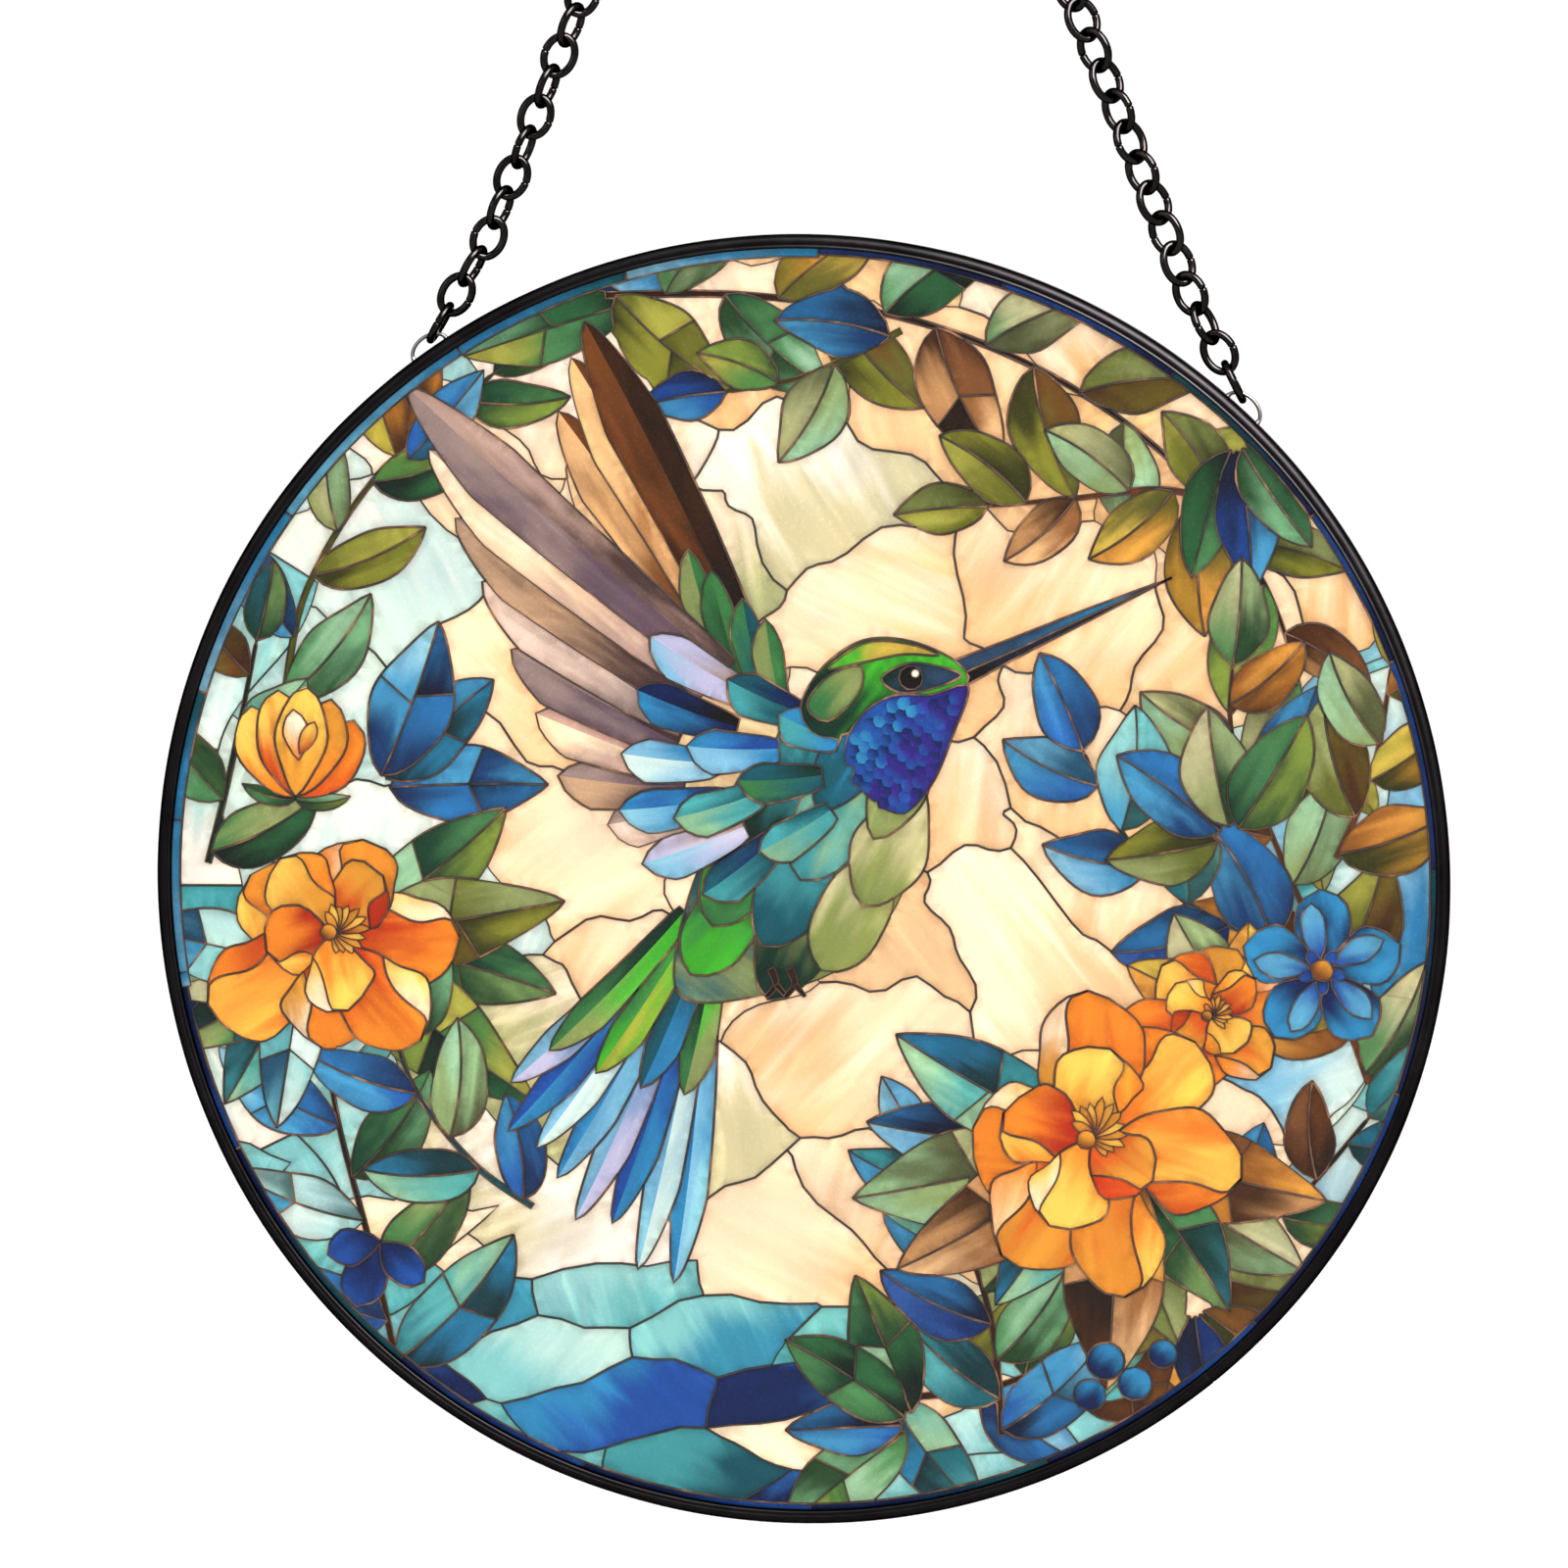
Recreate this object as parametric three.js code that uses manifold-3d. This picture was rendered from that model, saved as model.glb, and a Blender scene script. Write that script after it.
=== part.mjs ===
// Round stained glass suncatcher on a chain. Millimetres, +Z up, the picture
// side faces -Y. The origin is where a hook bears on the chain's middle link.
import * as THREE from 'three';
import { mergeVertices } from 'three/addons/utils/BufferGeometryUtils.js';
import Module from 'manifold-3d';

// ---- driving dimensions -------------------------------------------------
const DISC_DROP = 171.7;        // hook contact down to the centre of the disc

// rim: a rolled metal channel, bent into a ring round the glass
const RIM_R = 75.0;             // outside radius at the middle of its depth
const RIM_HALF_DEPTH = 2.75;    // half the front-to-back depth
const RIM_LIP_R = 73.3;         // inner radius of both lips
const RIM_FACE_R = 74.2;        // where the flat lip face starts to round over
const RIM_SHOULDER_R = 74.8;
const RIM_SHOULDER_Y = 2.3;
const RIM_SIDE_Y = 1.35;        // half-height of the straight outer side
const RIM_BEVEL = 0.2;          // bevel on each lip's inner corner
const GROOVE_R = 74.15;         // bottom of the groove that holds the glass
const GROOVE_HALF = 1.7;        // half the groove's width
const ROUND_STEPS = 88;         // facets round the ring and the disc

// glass
const GLASS_R = 73.9;
const GLASS_THICK = 3.0;

// fixing loops: small wire arches on the rim's outer side
const LOOP_LEFT_DEG = -35.7;    // angle from straight up, + to the right
const LOOP_RIGHT_DEG = 41.6;
const LOOP_HALF_WIDTH = 2.3;    // wire centre, along the rim
const LOOP_HEIGHT = 1.55;       // wire centre above the rim at the crown
const LOOP_WIRE_R = 0.225;
const LOOP_FOOT_GAP = 0.15;     // solder line between the feet and the rim
const LOOP_STEPS = 10;
const LOOP_SIDES = 6;

// chain: oval links of round wire, each turned from the last: a quarter turn
// at the ends of a run, rather less along it, where the links lean together
const LINK_LONG = 2.3;          // wire centreline half-length
const LINK_WIDE = 1.66;         // wire centreline half-width
const LINK_WIRE_R = 0.44;       // wire radius
const LINK_FACET_R = 0.455;     // corner radius of the four-sided wire section
const LINK_STEPS = 10;
const MIDDLE_STEPS = 12;
const LINK_SIDES = 4;
const LINKS_LEFT = 31;
const LINKS_RIGHT = 33;
const SLACK = 0.15;             // clearance where a run meets the middle link
const SEAT_ALONG = 0.8;         // the end link's bow in its loop: along the rim,
const SEAT_HEIGHT = 0.6;        // towards the hook, and above the rim
const FACE_LEFT_DEG = 8;        // turn of the odd links, from face-on
const FACE_RIGHT_DEG = -30;
const STEP_DEG = 61;            // turn from an odd link to an even one
const WANDER_DEG = 5;           // uneven lean along a run
const KNEE_AT = 0.9;            // where a run bends out to its loop, as a share
const KNEE_LEFT = 1.5;          // how far inside the straight line it does so
const KNEE_RIGHT = 0.9;

// ---- materials ------------------------------------------------------------
const darkMetal = (color, rough) => new THREE.MeshStandardMaterial(
  { color, roughness: rough, metalness: 0.9 });
const rimMetal = darkMetal(0x26231f, 0.38);
const chainMetal = darkMetal(0x1a1616, 0.28);
const printedGlass = new THREE.MeshStandardMaterial(
  { color: 0xb9b58f, roughness: 0.12, metalness: 0.0 });

// ---- helpers ----------------------------------------------------------------
const wasm = await Module();
wasm.setup();

function welded(geometry) {
  const g = geometry.index ? geometry.clone() : geometry;
  g.deleteAttribute('normal');
  g.deleteAttribute('uv');
  return mergeVertices(g, 1e-4);
}

function toSolid(geometry) {
  const g = welded(geometry);
  return new wasm.Manifold(new wasm.Mesh({
    numProp: 3,
    vertProperties: new Float32Array(g.attributes.position.array),
    triVerts: new Uint32Array(g.index.array),
  }));
}

function toGeometry(solid) {
  const m = solid.getMesh();
  const g = new THREE.BufferGeometry();
  g.setAttribute('position', new THREE.BufferAttribute(
    new Float32Array(m.vertProperties), 3));
  g.setIndex(new THREE.BufferAttribute(new Uint32Array(m.triVerts), 1));
  g.computeVertexNormals();
  return g;
}

const smooth = (a, b, t) => {
  const k = Math.min(1, Math.max(0, (t - a) / (b - a)));
  return k * k * (3 - 2 * k);
};

// One oval link: a torus whose ring is drawn out to LINK_LONG by LINK_WIDE.
// Its long axis lies along local X and its plane is local XY.
function linkGeometry(steps) {
  const g = new THREE.TorusGeometry(1, 0.25, LINK_SIDES, steps);
  const p = g.attributes.position;
  for (let i = 0; i < p.count; i++) {
    const u = Math.atan2(p.getY(i), p.getX(i));
    const out = (Math.hypot(p.getX(i), p.getY(i)) - 1) / 0.25 * LINK_FACET_R;
    const side = p.getZ(i) / 0.25 * LINK_FACET_R;
    const n = new THREE.Vector2(LINK_WIDE * Math.cos(u),
      LINK_LONG * Math.sin(u)).normalize();
    p.setXYZ(i, LINK_LONG * Math.cos(u) + n.x * out,
      LINK_WIDE * Math.sin(u) + n.y * out, side);
  }
  return g;
}

// Point on an ellipse, half-axes a (along X) and b (along Z), where its
// outward normal is the unit vector (nx, nz).
function ellipseAtNormal(a, b, nx, nz) {
  const k = Math.hypot(a * nx, b * nz);
  return { x: a * a * nx / k, z: b * b * nz / k };
}

// ---- rim and glass ------------------------------------------------------------
function rimGeometry() {
  const half = [
    [RIM_LIP_R + RIM_BEVEL, RIM_HALF_DEPTH],
    [RIM_FACE_R, RIM_HALF_DEPTH],
    [RIM_SHOULDER_R, RIM_SHOULDER_Y],
    [RIM_R, RIM_SIDE_Y],
  ];
  const front = half.map(([r, y]) => [r, -y]);
  const back = [...half].reverse();
  const profile = [
    [RIM_LIP_R, -RIM_HALF_DEPTH + RIM_BEVEL],
    ...front, ...back,
    [RIM_LIP_R, RIM_HALF_DEPTH - RIM_BEVEL],
    [RIM_LIP_R, GROOVE_HALF], [GROOVE_R, GROOVE_HALF],
    [GROOVE_R, -GROOVE_HALF], [RIM_LIP_R, -GROOVE_HALF],
  ];
  profile.push(profile[0]);
  return welded(new THREE.LatheGeometry(
    profile.map(([r, y]) => new THREE.Vector2(r, y)), ROUND_STEPS));
}

const group = new THREE.Group();
const disc = new THREE.Group();
disc.position.set(0, 0, -DISC_DROP);
group.add(disc);

const rim = new THREE.Mesh(rimGeometry(), rimMetal);
rim.name = 'rim';
disc.add(rim);

const glass = new THREE.Mesh(
  new THREE.CylinderGeometry(GLASS_R, GLASS_R, GLASS_THICK, ROUND_STEPS),
  printedGlass);
glass.name = 'glass_disc';
disc.add(glass);

// ---- fixing loops -----------------------------------------------------------------
// In the loop's own frame X runs along the rim and Z points out from the
// disc's centre, with the rim's surface at Z = RIM_R.
function loopGeometry() {
  const foot = Math.asin((LOOP_FOOT_GAP + 0.02) / LOOP_HEIGHT);
  const points = [];
  for (let i = 0; i <= LOOP_STEPS * 2; i++) {
    const a = foot + (Math.PI - 2 * foot) * i / (LOOP_STEPS * 2);
    const x = LOOP_HALF_WIDTH * Math.cos(a);
    points.push(new THREE.Vector3(x, 0,
      Math.sqrt(RIM_R * RIM_R - x * x) + LOOP_HEIGHT * Math.sin(a)));
  }
  const section = new THREE.Shape();
  for (let i = 0; i < LOOP_SIDES; i++) {
    const a = i / LOOP_SIDES * Math.PI * 2;
    const x = LOOP_WIRE_R * Math.cos(a);
    const y = LOOP_WIRE_R * Math.sin(a);
    if (i === 0) section.moveTo(x, y); else section.lineTo(x, y);
  }
  return welded(new THREE.ExtrudeGeometry(section, {
    steps: LOOP_STEPS, bevelEnabled: false,
    extrudePath: new THREE.CatmullRomCurve3(points),
  }));
}

for (const [side, deg] of [['left', LOOP_LEFT_DEG], ['right', LOOP_RIGHT_DEG]]) {
  const loop = new THREE.Mesh(loopGeometry(), rimMetal);
  loop.name = `hanging_loop_${side}`;
  loop.rotation.y = THREE.MathUtils.degToRad(deg);
  disc.add(loop);
}

// ---- chain --------------------------------------------------------------------------
// The middle link lies across the hook with its long axis level; the hook
// bears under its upper side, so the wire's inner surface is at Z = 0 there.
const middle = new THREE.Vector3(0, 0, -(LINK_WIDE - LINK_WIRE_R));

// Where a run starts, under the middle link, and ends, with its last bow
// wedged between the loop's crown and the rim. The start seats square to the
// pull, so it follows from the run's direction.
function runEnds(deg) {
  const a = THREE.MathUtils.degToRad(deg);
  const out = new THREE.Vector3(Math.sin(a), 0, Math.cos(a));
  const along = new THREE.Vector3(Math.cos(a), 0, -Math.sin(a));
  const end = out.clone().multiplyScalar(RIM_R + SEAT_HEIGHT)
    .addScaledVector(along, -Math.sign(deg) * SEAT_ALONG)
    .add(new THREE.Vector3(0, 0, -DISC_DROP));
  let start = middle.clone();
  let pull = new THREE.Vector3();
  for (let k = 0; k < 6; k++) {
    pull = end.clone().sub(start).normalize();
    const s = ellipseAtNormal(LINK_LONG, LINK_WIDE, pull.x, pull.z);
    start = new THREE.Vector3(middle.x + s.x, 0, middle.z + s.z);
  }
  return { start, end, pull };
}

// Turn of link k about the run. Even links stand edge-on at both ends of it.
function turnOf(k, count, faceDeg) {
  const t = k / (count - 1);
  const even = (k + 1) % 2;
  const loose = faceDeg + STEP_DEG * even + WANDER_DEG * Math.sin(2.4 * k);
  const share = smooth(0.0, 0.14, t) * (1 - smooth(0.88, 1.0, t));
  return THREE.MathUtils.degToRad(90 * even * (1 - share) + loose * share);
}

// The links' centres: straight to the knee, then straight to the loop.
function runCentres(deg, count, knee, first, last, pull) {
  const inward = new THREE.Vector3(-pull.z, 0, pull.x)
    .multiplyScalar(-Math.sign(deg) * Math.sign(-pull.z));
  const centres = [];
  for (let k = 0; k < count; k++) {
    const t = k / (count - 1);
    const share = t < KNEE_AT ? t / KNEE_AT : (1 - t) / (1 - KNEE_AT);
    centres.push(first.clone().lerp(last, t)
      .addScaledVector(inward, knee * share));
  }
  return centres;
}

function runGeometry(deg, count, faceDeg, knee) {
  const { start, end, pull } = runEnds(deg);
  const inner = LINK_LONG - LINK_FACET_R;
  const first = start.clone()
    .addScaledVector(pull, inner - LINK_FACET_R - SLACK);
  const last = end.clone().addScaledVector(pull, -LINK_LONG);
  const centres = runCentres(deg, count, knee, first, last, pull);
  const depth = new THREE.Vector3(0, 1, 0);
  let solid = null;
  for (let k = 0; k < count; k++) {
    const at = centres[k];
    const way = centres[Math.min(k + 1, count - 1)].clone()
      .sub(centres[Math.max(k - 1, 0)]).normalize();
    const flat = new THREE.Vector3().crossVectors(way, depth).normalize();
    const turn = turnOf(k, count, faceDeg);
    const wide = flat.clone().multiplyScalar(Math.cos(turn))
      .addScaledVector(depth, Math.sin(turn));
    const normal = new THREE.Vector3().crossVectors(way, wide);
    const g = linkGeometry(LINK_STEPS);
    g.applyMatrix4(new THREE.Matrix4().makeBasis(way, wide, normal)
      .setPosition(at));
    const link = toSolid(g);
    solid = solid ? solid.add(link) : link;
  }
  return toGeometry(solid);
}

const topLink = new THREE.Mesh(welded(linkGeometry(MIDDLE_STEPS)), chainMetal);
topLink.name = 'chain_middle_link';
topLink.rotation.x = Math.PI / 2;
topLink.position.copy(middle);
group.add(topLink);

for (const [side, deg, count, face, knee] of [
  ['left', LOOP_LEFT_DEG, LINKS_LEFT, FACE_LEFT_DEG, KNEE_LEFT],
  ['right', LOOP_RIGHT_DEG, LINKS_RIGHT, FACE_RIGHT_DEG, KNEE_RIGHT]]) {
  const run = new THREE.Mesh(runGeometry(deg, count, face, knee), chainMetal);
  run.name = `chain_${side}`;
  group.add(run);
}

export default group;
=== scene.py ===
# Stained glass suncatcher: the looks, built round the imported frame.
import bpy, math
from mathutils import Vector, Matrix
from mathutils.geometry import delaunay_2d_cdt


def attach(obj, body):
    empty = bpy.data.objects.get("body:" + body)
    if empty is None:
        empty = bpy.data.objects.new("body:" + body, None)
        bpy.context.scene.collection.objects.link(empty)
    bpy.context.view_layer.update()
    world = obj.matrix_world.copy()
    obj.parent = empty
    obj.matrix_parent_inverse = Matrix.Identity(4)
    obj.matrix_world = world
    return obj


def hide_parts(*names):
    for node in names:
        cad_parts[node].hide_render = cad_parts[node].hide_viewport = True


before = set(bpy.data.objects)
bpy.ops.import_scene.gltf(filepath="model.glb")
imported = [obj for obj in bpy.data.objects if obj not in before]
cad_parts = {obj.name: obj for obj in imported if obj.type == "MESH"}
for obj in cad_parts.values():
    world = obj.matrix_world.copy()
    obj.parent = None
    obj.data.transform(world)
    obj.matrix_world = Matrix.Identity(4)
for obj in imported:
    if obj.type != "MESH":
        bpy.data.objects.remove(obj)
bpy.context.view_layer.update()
MM = 0.001
DISC_Z = -171.7                  # disc centre below the hook, mm

# ---------------------------------------------------------------------------
# Camera: in front of the disc, a little to the right of it and above it
# ---------------------------------------------------------------------------
AZ, EL, ROLL = math.radians(5.4), math.radians(7.2), math.radians(1.1)
LENS, SENSOR = 120.0, 36.0
SPAN = 181.6                     # width of the view at the disc, mm
PX = SPAN / 1600.0
scene = bpy.context.scene
back = Vector((math.sin(AZ) * math.cos(EL), -math.cos(AZ) * math.cos(EL), math.sin(EL)))
centre = Vector((0, 0, DISC_Z))
eye = centre + back * (SPAN * LENS / SENSOR)
right = Vector((0, 0, 1)).cross(back).normalized()
up = back.cross(right).normalized()
right, up = (right * math.cos(ROLL) + up * math.sin(ROLL),
             up * math.cos(ROLL) - right * math.sin(ROLL))
# the disc's centre stands 14 px right of the picture's middle and 103 px below
aim = centre - right * (14 * PX) + up * (103 * PX)
look = (eye - aim).normalized()
side = up.cross(look).normalized()
top = look.cross(side).normalized()
cam = bpy.data.objects.new("camera", bpy.data.cameras.new("camera"))
cam.data.lens, cam.data.sensor_width = LENS, SENSOR
cam.data.clip_start, cam.data.clip_end = 0.02, 30
cam.matrix_world = Matrix.Translation(eye * MM) @ Matrix(
    (side, top, look)).transposed().to_4x4()
scene.collection.objects.link(cam)
scene.camera = cam


# ---------------------------------------------------------------------------
# Helpers
# ---------------------------------------------------------------------------
def add_object(name, verts, faces, mats, smooth=True):
    me = bpy.data.meshes.new(name)
    me.from_pydata([(x * MM, y * MM, z * MM) for x, y, z in verts], [], faces)
    me.update()
    for m in mats:
        me.materials.append(m)
    if smooth:
        me.polygons.foreach_set("use_smooth", [True] * len(me.polygons))
    ob = bpy.data.objects.new(name, me)
    scene.collection.objects.link(ob)
    return ob


def new_material(name):
    m = bpy.data.materials.new(name)
    m.use_nodes = True
    nt = m.node_tree
    return m, nt, nt.nodes["Principled BSDF"]


def node(nt, kind, **values):
    n = nt.nodes.new(kind)
    for k, v in values.items():
        if k in n.inputs:
            n.inputs[k].default_value = v
        else:
            setattr(n, k, v)
    return n


def ramp(nt, source, stops):
    r = nt.nodes.new("ShaderNodeValToRGB")
    els = r.color_ramp.elements
    while len(els) < len(stops):
        els.new(0.5)
    for e, (pos, col) in zip(els, stops):
        e.position = pos
        e.color = (*col, 1) if isinstance(col, tuple) else (col, col, col, 1)
    nt.links.new(source, r.inputs["Fac"])
    return r.outputs["Color"]


def blend_rgb(nt, kind, fac, a, b):
    m = nt.nodes.new("ShaderNodeMix")
    m.data_type = "RGBA"
    m.blend_type = kind
    for sock, v in ((m.inputs[0], fac), (m.inputs[6], a), (m.inputs[7], b)):
        if isinstance(v, bpy.types.NodeSocket):
            nt.links.new(v, sock)
        elif isinstance(v, tuple):
            sock.default_value = (*v, 1)
        else:
            sock.default_value = v
    return m.outputs[2]


def linear(c):
    return tuple(v / 12.92 if v <= 0.04045 else ((v + 0.055) / 1.055) ** 2.4 for v in c)


# ---------------------------------------------------------------------------
# Materials
# ---------------------------------------------------------------------------
def metal(name, dark, mid, bright, rough, metallic=0.85, grain=900.0, wear_and_highlight=0.35,
          shine=0.28, edge_tint=1.0):
    """Dark plated metal: cloudy plating, fine scuffs, and lighter plating where its wear attribute
    is set: rubbed edges, and on the rim a painted highlight.
    """
    m, nt, b = new_material(name)
    co = node(nt, "ShaderNodeTexCoord").outputs["Object"]
    cloud = node(nt, "ShaderNodeTexNoise", Scale=140.0, Detail=4.0, Roughness=0.6)
    fine = node(nt, "ShaderNodeTexNoise", Scale=grain, Detail=3.0, Roughness=0.7)
    for n in (cloud, fine):
        nt.links.new(co, n.inputs["Vector"])
    col = ramp(nt, cloud.outputs["Fac"], [(0.3, dark), (0.7, mid)])
    # mask of lighter plating: real rub on loops and chain, on the rim mostly a painted highlight
    edge = node(nt, "ShaderNodeAttribute", attribute_name="wear_and_highlight").outputs["Fac"]
    rub_and_highlight = nt.nodes.new("ShaderNodeMath")
    rub_and_highlight.operation = "MULTIPLY"
    nt.links.new(edge, rub_and_highlight.inputs[0])
    nt.links.new(ramp(nt, fine.outputs["Fac"], [(0.3, 0.72), (0.6, 1.0)]), rub_and_highlight.inputs[1])
    rub_and_highlight_amount = nt.nodes.new("ShaderNodeMath")
    rub_and_highlight_amount.operation = "MULTIPLY"
    nt.links.new(rub_and_highlight.outputs[0], rub_and_highlight_amount.inputs[0])
    rub_and_highlight_amount.inputs[1].default_value = wear_and_highlight
    col = blend_rgb(nt, "MIX", rub_and_highlight_amount.outputs[0], col, bright)
    nt.links.new(col, b.inputs["Base Color"])
    b.inputs["Metallic"].default_value = metallic
    b.inputs["Specular IOR Level"].default_value = shine
    b.inputs["Specular Tint"].default_value = (edge_tint, edge_tint, edge_tint, 1)
    nt.links.new(ramp(nt, fine.outputs["Fac"], [(0.3, rough * 0.88), (0.75, rough * 1.18)]),
                 b.inputs["Roughness"])
    bump = node(nt, "ShaderNodeBump", Strength=0.02, Distance=0.00004)
    nt.links.new(fine.outputs["Fac"], bump.inputs["Height"])
    nt.links.new(bump.outputs["Normal"], b.inputs["Normal"])
    return m


# the rim's light plating colour shows mostly as a painted highlight, where its wear mask is set
RIM_MAT = metal("rim_plating", (0.0035, 0.003, 0.0033), (0.007, 0.006, 0.0065),
                (0.60, 0.56, 0.60), 0.36, metallic=1.0, wear_and_highlight=0.014, edge_tint=0.2)
LOOP_MAT = metal("loop_wire", (0.05, 0.045, 0.042), (0.11, 0.10, 0.095),
                 (0.4, 0.38, 0.36), 0.30)
CHAIN_MAT = metal("chain_plating", (0.008, 0.007, 0.0068), (0.015, 0.0132, 0.0126),
                  (0.10, 0.08, 0.07), 0.12, metallic=1.0, grain=1500.0, wear_and_highlight=0.03,
                  edge_tint=0.10)


def picture_material(name, duller):
    """Airbrushed glass colours: each piece runs from one tone to another."""
    m, nt, b = new_material(name)
    start = node(nt, "ShaderNodeAttribute", attribute_name="paint").outputs["Color"]
    end = node(nt, "ShaderNodeAttribute", attribute_name="paint_end").outputs["Color"]
    tone = node(nt, "ShaderNodeAttribute", attribute_name="tone").outputs["Fac"]
    grain = node(nt, "ShaderNodeAttribute", attribute_name="grain").outputs["Vector"]
    edge = node(nt, "ShaderNodeAttribute", attribute_name="edge").outputs["Fac"]

    def noise(stretch, scale, detail, rough, dist=0.0):
        mp = node(nt, "ShaderNodeMapping")
        mp.inputs["Scale"].default_value = stretch
        nt.links.new(grain, mp.inputs["Vector"])
        n = node(nt, "ShaderNodeTexNoise", Scale=scale, Detail=detail,
                 Roughness=rough, Distortion=dist)
        nt.links.new(mp.outputs["Vector"], n.inputs["Vector"])
        return n.outputs["Fac"]

    def calc(kind, p, q):
        n = nt.nodes.new("ShaderNodeMath")
        n.operation = kind
        for sock, v in zip(n.inputs, (p, q)):
            if isinstance(v, bpy.types.NodeSocket):
                nt.links.new(v, sock)
            else:
                sock.default_value = v
        return n.outputs[0]

    swirl = noise((0.35, 1.0, 1.0), 0.17, 3.0, 0.5, 0.9)
    streak = noise((0.13, 1.0, 1.0), 0.45, 2.0, 0.5, 0.5)
    wisp = noise((0.09, 0.62, 1.0), 0.36, 2.0, 0.5, 1.4)
    cloud = noise((0.6, 0.6, 1.0), 0.13, 2.0, 0.5, 0.4)
    fleck = noise((1.0, 1.0, 1.0), 2.6, 2.0, 0.6)
    run = calc("ADD", tone, calc("MULTIPLY", calc("SUBTRACT", swirl, 0.5), 1.5))
    run = calc("ADD", run, calc("MULTIPLY", calc("SUBTRACT", streak, 0.5), 0.75))
    run = ramp(nt, run, [(0.08, 0.0), (0.92, 1.0)])
    nt.nodes[-1].color_ramp.interpolation = "EASE"
    col = blend_rgb(nt, "MIX", run, start, end)
    col = blend_rgb(nt, "MULTIPLY", 1.0, col,
                    ramp(nt, streak, [(0.30, 0.93), (0.5, 1.0), (0.70, 1.06)]))
    col = blend_rgb(nt, "MULTIPLY", 1.0, col,
                    ramp(nt, cloud, [(0.3, (0.84, 0.86, 0.90)), (0.5, (1.0, 1.0, 1.0)),
                                     (0.72, (1.12, 1.08, 1.0))]))
    col = blend_rgb(nt, "OVERLAY", ramp(nt, wisp, [(0.54, 0.0), (0.74, 0.55)]), col,
                    (0.86, 0.85, 0.80))
    col = blend_rgb(nt, "MULTIPLY", 1.0, col, (0.93, 0.857, 0.775))
    col = blend_rgb(nt, "MULTIPLY", edge, col, (0.74, 0.71, 0.69))
    if duller:
        col = blend_rgb(nt, "MULTIPLY", 0.6, col, (0.72, 0.74, 0.76))
    nt.links.new(col, b.inputs["Base Color"])
    b.inputs["Metallic"].default_value = 0.0
    b.inputs["IOR"].default_value = 1.5
    b.inputs["Specular IOR Level"].default_value = 0.10
    b.inputs["Transmission Weight"].default_value = 0.06
    nt.links.new(ramp(nt, fleck, [(0.3, 0.20), (0.7, 0.30)]), b.inputs["Roughness"])
    bump = node(nt, "ShaderNodeBump", Strength=0.08, Distance=0.00012)
    nt.links.new(streak, bump.inputs["Height"])
    nt.links.new(bump.outputs["Normal"], b.inputs["Normal"])
    return m


FACE_MAT = picture_material("picture_front", False)
BACK_MAT = picture_material("picture_back", True)


def outline_material():
    m, nt, b = new_material("outline_dark_copper")
    tone = node(nt, "ShaderNodeAttribute", attribute_name="copper").outputs["Fac"]
    co = node(nt, "ShaderNodeTexCoord").outputs["Object"]
    n = node(nt, "ShaderNodeTexNoise", Scale=260.0, Detail=3.0, Roughness=0.6)
    nt.links.new(co, n.inputs["Vector"])
    copper = ramp(nt, n.outputs["Fac"], [(0.40, (0.016, 0.008, 0.005)),
                                         (0.58, (0.065, 0.025, 0.010)),
                                         (0.74, (0.24, 0.11, 0.042))])
    dark = ramp(nt, n.outputs["Fac"], [(0.35, (0.006, 0.004, 0.003)),
                                       (0.7, (0.022, 0.014, 0.009))])
    nt.links.new(blend_rgb(nt, "MIX", tone, dark, copper), b.inputs["Base Color"])
    b.inputs["Metallic"].default_value = 0.35
    nt.links.new(ramp(nt, n.outputs["Fac"], [(0.3, 0.3), (0.7, 0.5)]),
                 b.inputs["Roughness"])
    return m


LINE_MAT = outline_material()

# ---------------------------------------------------------------------------
# The picture: flat coloured pieces in painter's order, in millimetres on the
# disc's face, x to the viewer's right and y up, from the disc's centre.
# Every figure is drawn by a function from a few named sizes.
# ---------------------------------------------------------------------------
PIC_R = 73.85
SHAPES = []            # (points, start colour, end colour, p0, p1, streak, soft)


def rgb(code):
    return tuple(int(code[i:i + 2], 16) / 255.0 for i in (0, 2, 4))


PALE, CREAM, PEACH, TAN = rgb("fdf6ee"), rgb("fce7cc"), rgb("f7cfa6"), rgb("e7b883")
SAGE, MOSS, ICE, AQUA = rgb("b3b48c"), rgb("7f8f58"), rgb("c9e6e6"), rgb("7cc3cb")
TEAL, DTEAL, SKY, AZURE = rgb("3f98a3"), rgb("125060"), rgb("79b6dc"), rgb("2b7fb8")
ROYAL, NAVY, VIOLET, LILAC = rgb("1d4a9e"), rgb("0e1f50"), rgb("2d2380"), rgb("b3b6de")
GREEN, BRIGHT, DGREEN, MINT = rgb("33703f"), rgb("3dab2c"), rgb("0d2e24"), rgb("82b593")
OLIVE, LOLIVE, GOLD, YELLOW = rgb("50561a"), rgb("979a38"), rgb("d08f33"), rgb("f6c65a")
ORANGE, DORANGE, RED, BROWN = rgb("e48226"), rgb("c44d18"), rgb("a32810"), rgb("6b3d1b")
DBROWN, MAUVE, DMAUVE, BLACK = rgb("331c0d"), rgb("92807f"), rgb("453435"), rgb("100d0c")

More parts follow.
